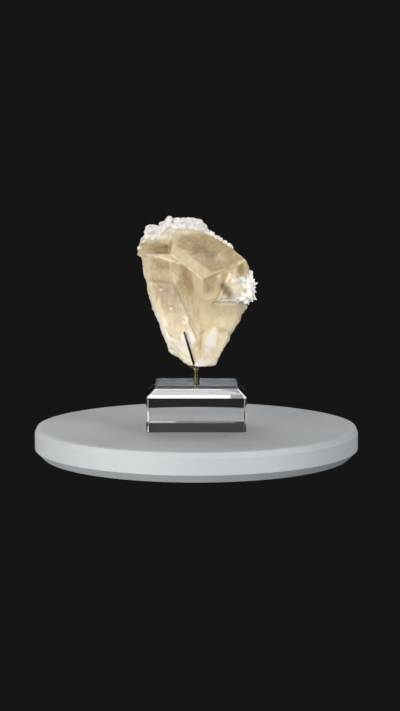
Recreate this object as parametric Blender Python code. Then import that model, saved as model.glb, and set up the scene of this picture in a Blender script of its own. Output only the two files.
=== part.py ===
"""A calcite crystal with a crust of small white crystals, held by brass prongs on a post in a clear block.

The frame is in metres, +Z up, with the origin at the middle of the block's underside. X runs to the
viewer's right and Y away from the viewer. Sizes below are in millimetres and are turned into metres by MM.
"""

import math
import random

import bmesh
import bpy
from mathutils import Matrix, Vector
from mathutils.bvhtree import BVHTree

MM = 0.001

# Clear block, square in plan, with a wide bevel round its top
BLOCK_SIDE = 100.0
BLOCK_HEIGHT = 42.5
BLOCK_BEVEL = 8.0
BLOCK_EDGE = 0.6
GAP = 0.3

# Brass post, let into a hole in the block
POST_DIAMETER = 6.5
POST_FOOT = 30.5
POST_TOP = 57.5
POST_CHAMFER = 0.5

# Brass wire prongs
PRONG_DIAMETER = 2.4

# The crystals are cut from a rough block this wide, by one plane for each flat face
ROUGH_BLOCK = 400.0

# Main crystal: its nearest corner and the corners round it
FRONT_CORNER = (6.7, -40.0, 152.5)
LEFT_SHOULDER = (-13.3, -25.2, 167.5)
LEFT_NOTCH = (-25.9, -17.0, 175.5)
RIGHT_SHOULDER = (42.7, -26.6, 168.0)
RIGHT_CORNER = (50.0, -24.1, 170.6)
CROWN_RIGHT = (8.8, 1.6, 196.2)
EAVE_RIGHT = (35.9, -12.9, 181.8)
LOWER_RIGHT = (47.4, -4.8, 118.5)

# Left crystal: the inner end of its ledge and the corners down its outline
LEDGE_RIGHT = (-25.3, -19.3, 175.1)
LEFT_WAIST = (-46.9, 8.0, 124.5)
LEFT_HEEL = (-29.1, 8.0, 77.2)


def facing(bearing, pitch):
    """A unit normal: bearing 0 faces the viewer and grows to the viewer's right, pitch is up."""
    b, p = math.radians(bearing), math.radians(pitch)
    return Vector((math.sin(b) * math.cos(p), -math.cos(b) * math.cos(p), math.sin(p)))


def through(first, second, third):
    """A face through three corners. Its normal points away from the crystal's middle, see cut_crystal."""
    a, b, c = Vector(first), Vector(second), Vector(third)
    return a, (b - a).cross(c - a).normalized()


def at(point, bearing, pitch):
    """A face through one point, looking along a bearing and a pitch."""
    return Vector(point), facing(bearing, pitch)


MAIN_CRYSTAL = {
    "middle": (10, 0, 140),
    "roof": at(RIGHT_SHOULDER, 0, 45),
    "roof_band": at(FRONT_CORNER, -7, 39.4),
    "right_front": at(FRONT_CORNER, 28.4, -18.9),
    "left_front": at(FRONT_CORNER, -39, -12),
    "left_wedge": at(LEFT_SHOULDER, -44.1, -11.3),
    "left_flank": at(LEFT_NOTCH, -62, 32),
    "right_side": at(RIGHT_CORNER, 64.6, -15.7),
    "right_edge": at((52.6, 0, 150), 84, -8),
    "right_under": at(LOWER_RIGHT, 84, -27),
    "eave": through(CROWN_RIGHT, EAVE_RIGHT, (20, 24, 176)),
    "eave_end": through(EAVE_RIGHT, (48.5, -23.5, 171.5), (46, 10, 165)),
    "crown": at((0, 8, 203), 180, 62),
    "back": at((0, 38, 160), 170, 8),
    "back_left": at((-26, 32, 160), -140, 12),
    "back_low": at((4, 34, 104), 178, -30),
    "toe_front": at((0, -18, 84), -14, -30),
    "toe_right": at((21, -10, 84), 50, -25),
    "left_under": at((-1.6, -1.2, 65.8), -72, -24),
    "foot": at((2, -3, 60.9), -139.6, -82.5),
    "foot_right": at((19, 2, 60.4), 60, -60),
}
LEFT_CRYSTAL = {
    "middle": (-24, 4, 140),
    "front": at(LEFT_SHOULDER, -26, -21.7),
    "ledge": at(LEDGE_RIGHT, -10, 84),
    "under_roof": at((6.7, -39.0, 151.5), -7, 39.4),
    "left_band": at((-47, -12, 175), -58, -12),
    "left_side": at((-56.4, 8, 175), -96, -10.5),
    "left_waist": at(LEFT_WAIST, -92, -21),
    "left_heel": at(LEFT_HEEL, -80, -52),
    "right_wall": at((-4, -22, 110), 98, -10),
    "back": at((-30, 34, 150), -158, -6),
    "foot": at((-2, 4, 84), 0, -84),
}
LEFT_FOOT_CRYSTAL = {
    "middle": (-24, 2, 110),
    "front": at((-20.2, -11.8, 143.4), -24.2, -4.6),
    "left_band": at((-44, -3, 143), -62, -14),
    "left_side": at((-52.5, 8, 154), -94, -12),
    "left_waist": at(LEFT_WAIST, -92, -21),
    "left_heel": at(LEFT_HEEL, -80, -52),
    "toe_front": at((-16, -8, 86), -34, -36),
    "right_wall": at((4, -10, 80), 88, -8),
    "top": at((-20, 0, 156), 0, 80),
    "back": at((-30, 31, 130), -170, -14),
    "foot": at((-2, 4, 60.5), 0, -84),
}
UPPER_LEFT_CRYSTAL = {
    "middle": (-32, 12, 184),
    "front": at((-26, -8, 177), -14, 42),
    "left_side": at((-57.0, 4, 182), -84, 6),
    "left_top": at((-51, 8, 190), -58, 52),
    "top": at((-30, 10, 198), -10, 78),
    "right_side": at((-8, 10, 190), 104, 8),
    "back": at((-34, 31, 186), -152, 18),
    "foot": at((-38, 5, 172), 0, -90),
}
CROWN_LUMP = {
    "middle": (-6, 14, 204),
    "front": at((-6, 6.5, 203), -4, 20),
    "left": at((-23, 8, 205), -80, 12),
    "top_left": at((-20, 10, 208), -30, 70),
    "top": at((2, 10, 208.5), 10, 82),
    "right": at((6, 8, 205), 75, 14),
    "back": at((-4, 27, 200), 178, 26),
    "foot": at((-4, 10, 187), 0, -80),
}
LEFT_LUMP = {
    "middle": (-42, 14, 197),
    "front": at((-42, 11, 194), -24, 30),
    "left": at((-52, 8, 194), -76, 8),
    "top_left": at((-49, 8, 199), -50, 52),
    "top": at((-38, 8, 200.5), 14, 80),
    "right": at((-24, 10, 200), 70, 6),
    "back": at((-34, 29.5, 186), -152, 24),
    "foot": at((-40, 8, 184), 0, -80),
}
SADDLE_LUMP = {
    "middle": (-28, 13, 198),
    "front": at((-28, 11.5, 200), -12, 26),
    "left": at((-36.5, 8, 198), -78, 8),
    "top_left": at((-33, 10, 204), -48, 60),
    "top": at((-26, 10, 206), 8, 80),
    "right": at((-17, 8, 202), 76, 8),
    "back": at((-26, 28, 193), 178, 25),
    "foot": at((-28, 9, 185), 0, -80),
}
RIGHT_LUMP = {
    "middle": (52, -6, 140),
    "front": at((50, -17, 140), 34, -6),
    "near_side": at((54, -11, 142), 62, 4),
    "side": at((57, -4, 142), 92, -4),
    "top": at((54, -6, 154), 40, 66),
    "foot": at((52, -6, 127), 20, -84),
    "back": at((52, 12, 140), 160, 10),
    "inner": at((36, 0, 140), -80, 0),
}
RIGHT_BED = {
    "middle": (37, -14, 134),
    "front": at((8.1, -42.4, 152.5), 24, -14),
    "left": at((30, -30, 150), -52, 14),
    "foot": at((34, -12, 126), 20, -74),
    "right": at((36, -24, 160), 58, 24),
    "top": at((34, -24, 162), 0, 80),
    "side": at((50, -10, 140), 88, 0),
    "back": at((36, -8, 140), 180, 0),
}
CRYSTALS = {
    "main": MAIN_CRYSTAL,
    "left": LEFT_CRYSTAL,
    "left_foot": LEFT_FOOT_CRYSTAL,
    "upper_left": UPPER_LEFT_CRYSTAL,
    "crown_lump": CROWN_LUMP,
    "left_lump": LEFT_LUMP,
    "saddle_lump": SADDLE_LUMP,
    "right_lump": RIGHT_LUMP,
    "right_bed": RIGHT_BED,
}

# Crust: where small crystals are strewn (centre, reach along X, Y and Z, how many, smallest and largest edge)
CRUST_AREAS = {
    "crown": ((-8, 12, 207), (18, 14, 9), 64, 3.0, 6.5),
    "crown_front": ((-8, 7, 205.5), (19, 5, 4), 54, 2.5, 4.5),
    "left_top": ((-40, 14, 199), (17, 14, 7), 66, 3.0, 6.5),
    "left_bump": ((-56, 6, 183), (4, 10, 7), 12, 3.0, 6.0),
    "eave": ((22, -2, 189), (17, 8, 9), 44, 2.5, 4.4),
    "right": ((54, -8, 141), (9, 16, 16), 84, 3.0, 7.0),
    "right_bed": ((38, -24, 140), (9, 9, 14), 22, 2.0, 4.0),
    "back": ((10, 34, 150), (34, 16, 34), 44, 4.0, 9.0),
    "back_left": ((-38, 28, 160), (20, 14, 26), 34, 4.0, 8.0),
}
# Single crystals that stand out on the outline: middle and edge
CRUST_LEADERS = (
    ((-57.5, 6, 182), 6.0),
    ((-48, 8, 201), 6.5),
    ((-40, 10, 202), 5.5),
    ((-29.5, 8, 209), 7.5),
    ((-26, 8, 204), 7.5),
    ((-14, 10, 210), 6.5),
    ((-4, 10, 210), 6.5),
    ((4, 10, 209.5), 6.5),
    ((6.5, 8, 204), 6.0),
    ((9, 4, 198), 4.8),
    ((12.5, 2, 195.6), 4.6),
    ((16, 0.5, 194.2), 4.4),
    ((20, -2, 191), 4.4),
    ((24, -4, 189), 4.2),
    ((28, -6.5, 187.3), 4.4),
    ((32, -9, 184.6), 4.0),
    ((35.5, -11, 182), 3.2),
    ((54, -10, 154), 6.0),
    ((58, -8, 153), 5.0),
    ((59, -6, 146), 7.0),
    ((59, -4, 137), 6.5),
    ((59, -4, 130), 6.0),
    ((55, -6, 128), 6.0),
)
# How a cleavage rhomb's three edges lean from its long axis, how far a rhomb is sunk into what it grew
# on, and how near a big crystal has to be for one to grow
RHOMB_LEAN = 63.7
SINK = 0.25
CRUST_REACH = 6.0
SEED = 11

# Routes of the prongs along their middle, from the root by the post to the tip
FRONT_PRONG = (
    (-0.9, -1.5, 59.2),
    (-3.2, -1.7, 65.0),
    (-5.7, -7.4, 74.4),
    (-8.6, -14.4, 85.0),
    (-12.0, -14.5, 96.5),
)
LEFT_PRONG = (
    (-2.4, 0.8, 59.1),
    (-5.2, 2.8, 58.9),
    (-8.4, 6.8, 59.2),
    (-11.0, 11.0, 60.6),
    (-13.6, 17.8, 61.7),
    (-14.4, 20.1, 67.0),
    (-15.8, 22.6, 79.6),
)
REAR_PRONG = (
    (2.3, 1.9, 59.1),
    (4.2, 6.2, 59.4),
    (5.2, 11.2, 60.6),
    (5.9, 14.4, 65.4),
    (7.4, 21.4, 78.5),
    (9.6, 28.6, 91.0),
)
PRONGS = {"front_prong": FRONT_PRONG, "left_prong": LEFT_PRONG, "rear_prong": REAR_PRONG}
POINTS_PER_BEND = 5


def new_object(name, bm):
    """Put a bmesh, in millimetres, into the scene as an object in metres."""
    bmesh.ops.scale(bm, vec=(MM, MM, MM), verts=bm.verts)
    mesh = bpy.data.meshes.new(name)
    bm.to_mesh(mesh)
    bm.free()
    obj = bpy.data.objects.new(name, mesh)
    bpy.context.scene.collection.objects.link(obj)
    return obj


def cut_crystal(crystal):
    """A convex crystal: a rough block cut by one plane for each flat face."""
    middle = Vector(crystal["middle"])
    bm = bmesh.new()
    bmesh.ops.create_cube(bm, size=ROUGH_BLOCK, matrix=Matrix.Translation(middle))
    for face_name, face in crystal.items():
        if face_name == "middle":
            continue
        point, normal = face
        if (middle - point).dot(normal) > 0:
            normal = -normal
        cut = bmesh.ops.bisect_plane(
            bm,
            geom=bm.verts[:] + bm.edges[:] + bm.faces[:],
            plane_co=point,
            plane_no=normal,
            clear_outer=True,
        )
        rim = [part for part in cut["geom_cut"] if isinstance(part, bmesh.types.BMEdge)]
        if rim:
            bmesh.ops.contextual_create(bm, geom=rim)
    bmesh.ops.recalc_face_normals(bm, faces=bm.faces)
    return bm


def rhomb(bm, middle, edge, turn):
    """One small calcite rhomb: six equal diamond faces."""
    lean = math.radians(RHOMB_LEAN)
    edges = []
    for third in range(3):
        angle = math.tau * third / 3
        side = Vector((math.cos(angle), math.sin(angle), 0)) * math.sin(lean)
        edges.append(side + Vector((0, 0, math.cos(lean))))
    skew = Matrix((edges[0], edges[1], edges[2])).transposed() * edge
    place = Matrix.Translation(middle) @ turn @ skew.to_4x4()
    bmesh.ops.create_cube(bm, size=1.0, matrix=place)


def random_turn(rng):
    """A random rotation matrix."""
    axis = Vector((rng.gauss(0, 1), rng.gauss(0, 1), rng.gauss(0, 1)))
    return Matrix.Rotation(rng.uniform(0, math.tau), 4, axis.normalized())


def random_offset(rng):
    """A random point in a ball of radius 1."""
    offset = Vector((1, 1, 1))
    while offset.length > 1:
        offset = Vector((rng.uniform(-1, 1), rng.uniform(-1, 1), rng.uniform(-1, 1)))
    return offset


def strewn_crust(bodies):
    """Small crystals that grew over the parts of the big ones that the crust areas name."""
    rng = random.Random(SEED)
    tree = BVHTree.FromBMesh(bodies)
    bm = bmesh.new()
    for centre, reach, count, smallest, largest in CRUST_AREAS.values():
        for _ in range(count):
            point = Vector(centre) + random_offset(rng) * Vector(reach)
            surface, normal, _, distance = tree.find_nearest(point)
            if distance > CRUST_REACH:
                continue
            edge = rng.uniform(smallest, largest)
            rhomb(bm, surface - normal * edge * SINK, edge, random_turn(rng))
    for middle, edge in CRUST_LEADERS:
        rhomb(bm, Vector(middle), edge, random_turn(rng))
    return bm


def join(target, source):
    """Add one bmesh to another."""
    mesh = bpy.data.meshes.new("joining")
    source.to_mesh(mesh)
    target.from_mesh(mesh)
    bpy.data.meshes.remove(mesh)


def evaluated_copy(obj):
    """The object's mesh as its modifiers leave it."""
    graph = bpy.context.evaluated_depsgraph_get()
    return bpy.data.meshes.new_from_object(obj.evaluated_get(graph))


def keep_largest_shell(mesh):
    """Drop crystals that touch nothing and the closed hollows between crystals, and leave triangles."""
    bm = bmesh.new()
    bm.from_mesh(mesh)
    unseen = set(bm.verts)
    shells = []
    while unseen:
        shell = {unseen.pop()}
        edge_of_search = list(shell)
        while edge_of_search:
            vert = edge_of_search.pop()
            for edge in vert.link_edges:
                other = edge.other_vert(vert)
                if other in unseen:
                    unseen.discard(other)
                    shell.add(other)
                    edge_of_search.append(other)
        shells.append(shell)
    shells.sort(key=len)
    for shell in shells[:-1]:
        bmesh.ops.delete(bm, geom=list(shell), context="VERTS")
    bmesh.ops.triangulate(bm, faces=bm.faces)
    bm.to_mesh(mesh)
    bm.free()


def union_of(name, first, others):
    """One closed solid from a bmesh and others that overlap it and each other."""
    obj = new_object(name, first)
    rest = new_object(name + "_rest", others)
    union = obj.modifiers.new("union", "BOOLEAN")
    union.operation = "UNION"
    union.solver = "EXACT"
    union.use_self = True
    union.object = rest
    mesh = evaluated_copy(obj)
    obj.modifiers.remove(union)
    bpy.data.objects.remove(rest)
    obj.data = mesh
    mesh.name = name
    mesh.polygons.foreach_set("material_index", [0] * len(mesh.polygons))
    keep_largest_shell(mesh)
    return obj


def calcite_crystal():
    """The whole crystal group with its crust, one solid."""
    main_body = cut_crystal(MAIN_CRYSTAL)
    others = bmesh.new()
    for name, crystal in CRYSTALS.items():
        if name != "main":
            body = cut_crystal(crystal)
            join(others, body)
            body.free()
    bodies = main_body.copy()
    join(bodies, others)
    crust = strewn_crust(bodies)
    join(others, crust)
    crust.free()
    bodies.free()
    return union_of("calcite_crystal", main_body, others)


def square_ring(bm, half, clip, height):
    """Eight points of a square with clipped corners."""
    corners = ((1, -1), (1, 1), (-1, 1), (-1, -1))
    ring = []
    for x, y in corners:
        along, across = (half, half - clip), (half - clip, half)
        pair = (along, across) if x * y > 0 else (across, along)
        for a, b in pair:
            ring.append(bm.verts.new((x * a, y * b, height)))
    return ring


def loft(bm, rings):
    """Close a stack of rings of points into a solid."""
    for low, high in zip(rings, rings[1:]):
        for k in range(len(low)):
            bm.faces.new((low[k - 1], low[k], high[k], high[k - 1]))
    bm.faces.new(reversed(rings[0]))
    bm.faces.new(rings[-1])
    bmesh.ops.recalc_face_normals(bm, faces=bm.faces)


def turned(profile, sides=32):
    """A round solid about Z from (radius, height) pairs."""
    bm = bmesh.new()
    rings = []
    for radius, height in profile:
        ring = []
        for k in range(sides):
            angle = math.tau * k / sides
            ring.append(bm.verts.new((radius * math.cos(angle), radius * math.sin(angle), height)))
        rings.append(ring)
    loft(bm, rings)
    return bm


def clear_block():
    """The clear block, with the hole that the post is glued into."""
    half = BLOCK_SIDE / 2
    wall = BLOCK_HEIGHT - BLOCK_BEVEL
    bm = bmesh.new()
    rings = [
        square_ring(bm, half - BLOCK_EDGE, BLOCK_EDGE, 0),
        square_ring(bm, half, BLOCK_EDGE, BLOCK_EDGE),
        square_ring(bm, half, BLOCK_EDGE, wall),
        square_ring(bm, half - BLOCK_BEVEL, BLOCK_EDGE, BLOCK_HEIGHT),
    ]
    loft(bm, rings)
    block = new_object("clear_block", bm)
    radius = POST_DIAMETER / 2 + GAP
    drill_ends = ((radius, POST_FOOT - GAP), (radius, BLOCK_HEIGHT + POST_DIAMETER))
    drill = new_object("post_drill", turned(drill_ends))
    drill.hide_render = True
    drill.display_type = "WIRE"
    hole = block.modifiers.new("post_hole", "BOOLEAN")
    hole.operation = "DIFFERENCE"
    hole.solver = "EXACT"
    hole.object = drill
    return block


def brass_post():
    """The round post, chamfered at its top."""
    radius = POST_DIAMETER / 2
    profile = (
        (radius - POST_CHAMFER, POST_FOOT),
        (radius, POST_FOOT + POST_CHAMFER),
        (radius, POST_TOP - POST_CHAMFER),
        (radius - POST_CHAMFER, POST_TOP),
    )
    post = new_object("brass_post", turned(profile))
    post.data.shade_smooth()
    post.data.set_sharp_from_angle(angle=math.radians(30))
    return post


def smooth_route(points):
    """Points on a smooth curve through the route's own points."""
    ends = [points[0]] + list(points) + [points[-1]]
    knots = [Vector(p) for p in ends]
    route = []
    for k in range(1, len(knots) - 2):
        before, start, end, after = knots[k - 1:k + 3]
        for step in range(POINTS_PER_BEND):
            t = step / POINTS_PER_BEND
            cubic = (3 * start - before - 3 * end + after) * t ** 3
            square = (2 * before - 5 * start + 4 * end - after) * t ** 2
            route.append(start + ((end - before) * t + square + cubic) / 2)
    route.append(knots[-1])
    return route


def wire_prong(name, points):
    """A bent brass wire with a rounded tip."""
    route = smooth_route(points)
    radius = PRONG_DIAMETER / 2
    tip_way = (route[-1] - route[-2]).normalized()
    rounding = ((0.35, 0.92), (0.7, 0.7), (0.95, 0.3))
    curve = bpy.data.curves.new(name, "CURVE")
    curve.dimensions = "3D"
    curve.bevel_depth = radius * MM
    curve.bevel_resolution = 2
    curve.use_fill_caps = True
    spline = curve.splines.new("POLY")
    spline.points.add(len(route) + len(rounding) - 1)
    for point, where in zip(spline.points, route):
        point.co = (*(where * MM), 1)
    for point, (reach, width) in zip(spline.points[len(route):], rounding):
        point.co = (*((route[-1] + tip_way * radius * reach) * MM), 1)
        point.radius = width
    prong = bpy.data.objects.new(name, curve)
    bpy.context.scene.collection.objects.link(prong)
    return prong


def finish(name, colour, roughness, metallic=0.0, transmission=0.0, ior=1.5):
    """A plain Principled material."""
    material = bpy.data.materials.new(name)
    material.use_nodes = True
    shader = material.node_tree.nodes["Principled BSDF"]
    shader.inputs["Base Color"].default_value = (*colour, 1)
    shader.inputs["Roughness"].default_value = roughness
    shader.inputs["Metallic"].default_value = metallic
    shader.inputs["Transmission Weight"].default_value = transmission
    shader.inputs["IOR"].default_value = ior
    return material


def main():
    for obj in list(bpy.data.objects):
        bpy.data.objects.remove(obj)
    crystal = calcite_crystal()
    crystal.data.materials.append(finish("honey calcite", (0.78, 0.66, 0.46), 0.3, 0.0, 0.3, 1.6))
    block = clear_block()
    block.data.materials.append(finish("clear acrylic", (0.93, 0.96, 0.97), 0.05, 0.0, 0.9, 1.49))
    brass = finish("aged brass", (0.34, 0.26, 0.14), 0.35, 1.0)
    brass_post().data.materials.append(brass)
    for name, points in PRONGS.items():
        wire_prong(name, points).data.materials.append(brass)


main()
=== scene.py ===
"""The looks of the calcite specimen: crystals with a white crust, on brass prongs and post in a clear block.

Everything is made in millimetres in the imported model's own frame and turned into metres by MM. X runs to the
viewer's right, Y away from the viewer and Z up.
"""
import math
import random

import bmesh
import bpy
import numpy as np
from mathutils import Matrix, Vector, noise
from mathutils.bvhtree import BVHTree
from mathutils.kdtree import KDTree


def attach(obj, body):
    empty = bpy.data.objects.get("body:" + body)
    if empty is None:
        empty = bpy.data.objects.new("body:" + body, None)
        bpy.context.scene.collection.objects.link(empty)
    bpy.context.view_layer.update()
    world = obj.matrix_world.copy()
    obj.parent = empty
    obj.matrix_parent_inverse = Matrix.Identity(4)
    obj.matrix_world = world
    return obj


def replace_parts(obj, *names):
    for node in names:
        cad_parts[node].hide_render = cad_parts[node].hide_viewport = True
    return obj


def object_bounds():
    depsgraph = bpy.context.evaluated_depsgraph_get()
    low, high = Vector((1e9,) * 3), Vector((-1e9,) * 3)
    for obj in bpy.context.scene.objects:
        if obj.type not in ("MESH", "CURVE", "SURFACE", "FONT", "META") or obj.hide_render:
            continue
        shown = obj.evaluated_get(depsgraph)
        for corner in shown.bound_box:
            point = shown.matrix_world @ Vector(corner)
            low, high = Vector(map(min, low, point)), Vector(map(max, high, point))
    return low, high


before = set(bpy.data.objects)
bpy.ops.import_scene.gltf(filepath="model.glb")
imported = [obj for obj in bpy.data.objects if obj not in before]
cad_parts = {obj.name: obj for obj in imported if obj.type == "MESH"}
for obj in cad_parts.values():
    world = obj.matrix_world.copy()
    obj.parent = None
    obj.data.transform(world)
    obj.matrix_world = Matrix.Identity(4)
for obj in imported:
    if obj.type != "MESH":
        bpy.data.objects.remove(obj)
CAD_LOW, CAD_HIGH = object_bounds()

MM = 0.001

# Block, post and wire, as in the solids
BLOCK_SIDE = 100.0
BLOCK_HEIGHT = 42.5
BLOCK_BEVEL = 8.0
BLOCK_CORNER = 0.6
POST_DIAMETER = 6.5
POST_FOOT = 30.5
POST_TOP = 57.5
POST_CHAMFER = 0.5
WIRE_DIAMETER = 2.4

# The solder is a little narrower than the post, and reaches below and above the post's top
SOLDER_INSET = 0.1
SOLDER_TIP = 0.15
SOLDER_SINK = 0.7
SOLDER_HEIGHT = 2.1
SOLDER_FULLNESS = 0.7

# How finely these pieces are made, how uneven they are, and the least angle of an edge that stays sharp
BLOCK_POLISH = 0.175
POST_SPANS = 12
POST_SIDES = 48
POST_UNEVEN = 0.012
SOLDER_ROWS = 10
SOLDER_SIDES = 32
SOLDER_UNEVEN = 0.22
TURNED_SHARP = 35.0
WIRE_STEPS = 8
WIRE_SIDES = 14
WIRE_UNEVEN = 0.035
WIRE_SHARP = 50.0
# The unevenness is read along a circle of this radius, which rises with each ring of the piece
TURNED_GRAIN = 1.4
WIRE_GRAIN = 1.0
GRAIN_RISE = 0.35
WIRE_GRAIN_SHIFT = 7.0
# Rounding of a wire's tip: how far past the last point, and how wide, as shares of the radius
WIRE_TIP = ((0.3, 0.95), (0.6, 0.8), (0.85, 0.53), (0.97, 0.25))

# Corners of the crystals
FRONT_CORNER = (6.7, -40.0, 152.5)
LEFT_SHOULDER = (-13.3, -25.2, 167.5)
LEFT_NOTCH = (-25.9, -17.0, 175.5)
RIGHT_SHOULDER = (42.7, -26.6, 168.0)
RIGHT_CORNER = (50.0, -24.1, 170.6)
CROWN_RIGHT = (8.8, 1.6, 196.2)
EAVE_RIGHT = (35.9, -12.9, 181.8)
LOWER_RIGHT = (47.4, -4.8, 118.5)
LEDGE_RIGHT = (-25.3, -19.3, 175.1)
LEFT_WAIST = (-46.9, 8.0, 124.5)
LEFT_HEEL = (-29.1, 8.0, 77.2)
ROUGH_BLOCK = 400.0


def facing(bearing, pitch):
    """A unit normal: bearing 0 faces the viewer and grows to the viewer's right, pitch is up."""
    b, p = math.radians(bearing), math.radians(pitch)
    return Vector((math.sin(b) * math.cos(p), -math.cos(b) * math.cos(p), math.sin(p)))


def at(point, bearing, pitch):
    """A face through one point, looking along a bearing and a pitch."""
    return Vector(point), facing(bearing, pitch)


def through(first, second, third):
    """A face through three corners."""
    a, b, c = Vector(first), Vector(second), Vector(third)
    return a, (b - a).cross(c - a).normalized()


CRYSTALS = {
    "main": {
        "middle": (10, 0, 140),
        "roof": at(RIGHT_SHOULDER, 0, 45),
        "roof_band": at(FRONT_CORNER, -7, 39.4),
        "right_front": at(FRONT_CORNER, 28.4, -18.9),
        "left_front": at(FRONT_CORNER, -39, -12),
        "left_wedge": at(LEFT_SHOULDER, -44.1, -11.3),
        "left_flank": at(LEFT_NOTCH, -62, 32),
        "right_side": at(RIGHT_CORNER, 64.6, -15.7),
        "right_edge": at((52.6, 0, 150), 84, -8),
        "right_under": at(LOWER_RIGHT, 84, -27),
        "eave": through(CROWN_RIGHT, EAVE_RIGHT, (20, 24, 176)),
        "eave_end": through(EAVE_RIGHT, (48.5, -23.5, 171.5), (46, 10, 165)),
        "crown": at((0, 8, 203), 180, 62),
        "back": at((0, 38, 160), 170, 8),
        "back_left": at((-26, 32, 160), -140, 12),
        "back_low": at((4, 34, 104), 178, -30),
        "toe_front": at((0, -18, 84), -14, -30),
        "toe_right": at((21, -10, 84), 50, -25),
        "left_under": at((-1.6, -1.2, 65.8), -72, -24),
        "foot": at((2, -3, 60.9), -139.6, -82.5),
        "foot_right": at((19, 2, 60.4), 60, -60),
    },
    "left": {
        "middle": (-24, 4, 140),
        "front": at(LEFT_SHOULDER, -26, -21.7),
        "ledge": at(LEDGE_RIGHT, -10, 84),
        "under_roof": at((6.7, -39.0, 151.5), -7, 39.4),
        "left_band": at((-47, -12, 175), -58, -12),
        "left_side": at((-56.4, 8, 175), -96, -10.5),
        "left_waist": at(LEFT_WAIST, -92, -21),
        "left_heel": at(LEFT_HEEL, -80, -52),
        "right_wall": at((-4, -22, 110), 98, -10),
        "back": at((-30, 34, 150), -158, -6),
        "foot": at((-2, 4, 84), 0, -84),
    },
    "left_foot": {
        "middle": (-24, 2, 110),
        "front": at((-20.2, -11.8, 143.4), -24.2, -4.6),
        "left_band": at((-44, -3, 143), -62, -14),
        "left_side": at((-52.5, 8, 154), -94, -12),
        "left_waist": at(LEFT_WAIST, -92, -21),
        "left_heel": at(LEFT_HEEL, -80, -52),
        "toe_front": at((-16, -8, 86), -34, -36),
        "right_wall": at((4, -10, 80), 88, -8),
        "top": at((-20, 0, 156), 0, 80),
        "back": at((-30, 31, 130), -170, -14),
        "foot": at((-2, 4, 60.5), 0, -84),
    },
    "upper_left": {
        "middle": (-32, 12, 184),
        "front": at((-26, -8, 177), -14, 42),
        "left_side": at((-57.0, 4, 182), -84, 6),
        "left_top": at((-51, 8, 190), -58, 52),
        "top": at((-30, 10, 198), -10, 78),
        "right_side": at((-8, 10, 190), 104, 8),
        "back": at((-34, 31, 186), -152, 18),
        "foot": at((-38, 5, 172), 0, -90),
    },
    "crown_lump": {
        "middle": (-6, 14, 203),
        "front": at((-6, 6.5, 203), -4, 20),
        "left": at((-23, 8, 205), -80, 12),
        "top_left": at((-20, 10, 208), -30, 70),
        "top": at((2, 10, 208.5), 10, 82),
        "right": at((6, 8, 205), 75, 14),
        "top_right": at((3.2, 8, 206.0), 78, 50),
        "back": at((-4, 27, 200), 178, 26),
        "foot": at((-4, 10, 187), 0, -80),
    },
    "left_lump": {
        "middle": (-42, 14, 197),
        "front": at((-42, 11, 194), -24, 30),
        "left": at((-52, 8, 194), -76, 8),
        "top_left": at((-49, 8, 199), -50, 52),
        "top": at((-38, 8, 200.5), 14, 80),
        "right": at((-24, 10, 200), 70, 6),
        "back": at((-34, 29.5, 186), -152, 24),
        "foot": at((-40, 8, 184), 0, -80),
    },
    "saddle_lump": {
        "middle": (-28, 13, 198),
        "front": at((-28, 11.5, 200), -12, 26),
        "left": at((-36.5, 8, 198), -78, 8),
        "top_left": at((-33, 10, 204), -48, 60),
        "top": at((-26, 10, 206), 8, 80),
        "right": at((-17, 8, 202), 76, 8),
        "back": at((-26, 28, 193), 178, 25),
        "foot": at((-28, 9, 185), 0, -80),
    },
    "right_lump": {
        "middle": (52, -6, 140),
        "front": at((50, -17, 140), 34, -6),
        "near_side": at((54, -11, 142), 62, 4),
        "side": at((57, -4, 142), 92, -4),
        "top": at((54, -6, 154), 40, 66),
        "foot": at((52, -6, 127), 20, -84),
        "back": at((52, 12, 140), 160, 10),
        "inner": at((36, 0, 140), -80, 0),
    },
    "right_bed": {
        "middle": (37, -14, 134),
        "front": at((8.1, -42.4, 152.5), 24, -14),
        "left": at((30, -30, 150), -52, 14),
        "foot": at((34, -12, 126), 20, -74),
        "right": at((36, -24, 160), 58, 24),
        "top": at((34, -24, 162), 0, 80),
        "side": at((50, -10, 140), 88, 0),
        "back": at((36, -8, 140), 180, 0),
    },
}

# Even cells that the joined crystals are rebuilt in
EVEN_CELLS = {
    "mode": "SHARP", "octree_depth": 8, "scale": 0.6, "use_remove_disconnected": True, "threshold": 0.1,
}
# How far from a flat face a point may lie and still belong to it
FACE_SLACK = 0.15
# Outward edges: spacing of the points along them, and the least angle of an edge that chips and wears
EDGE_SPACING = 0.8
EDGE_ANGLE = 20.0
# How edges are rubbed round and tones are blended: the share drawn in each time, the reach and the times
RUB_SHARE = 0.6
RUB_REACH = 1.6
EDGE_RUBS = 4
TONE_RUBS = 6
# How far the wear and the chips of edges reach, how deep the chips are, and how many places stay unchipped
WEAR_REACH = 4.0
CHIP_REACH = 3.6
CHIP_DEPTH = 2.4
CHIP_SPARING = 0.22
# Least angle of an edge that stays sharp on the crystals
BODY_SHARP = 24.0

# Unevenness in layers: (height, width of its bumps, shift of the noise)
FACE_SWELL = ((0.22, 24, 0.0), (0.09, 7, 3.1), (0.035, 2.6, 7.7))
LUMPINESS = ((0.9, 6.5, 5.0), (0.6, 3.0, 9.0))
KNOBS = ((2.4, 10.0, 21.0), (1.0, 4.0, 27.0))
CHIPS = ((1.0, 9.0, 13.0), (0.4, 3.5, 17.0))
PANE_CLOUDS = ((0.8, 6.0, 41.0), (0.5, 2.4, 43.0))
PANE_WANDER_X = ((0.6, 5.0, 31.0),)
PANE_WANDER_Z = ((0.6, 5.0, 37.0),)
WARP = ((1.0, 18, 11.3),)

# How far growth steps wander off their straight lines, and the share of a step that rises before the drop
STEP_WANDER = 0.9
STEP_RISE = 0.82

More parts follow.
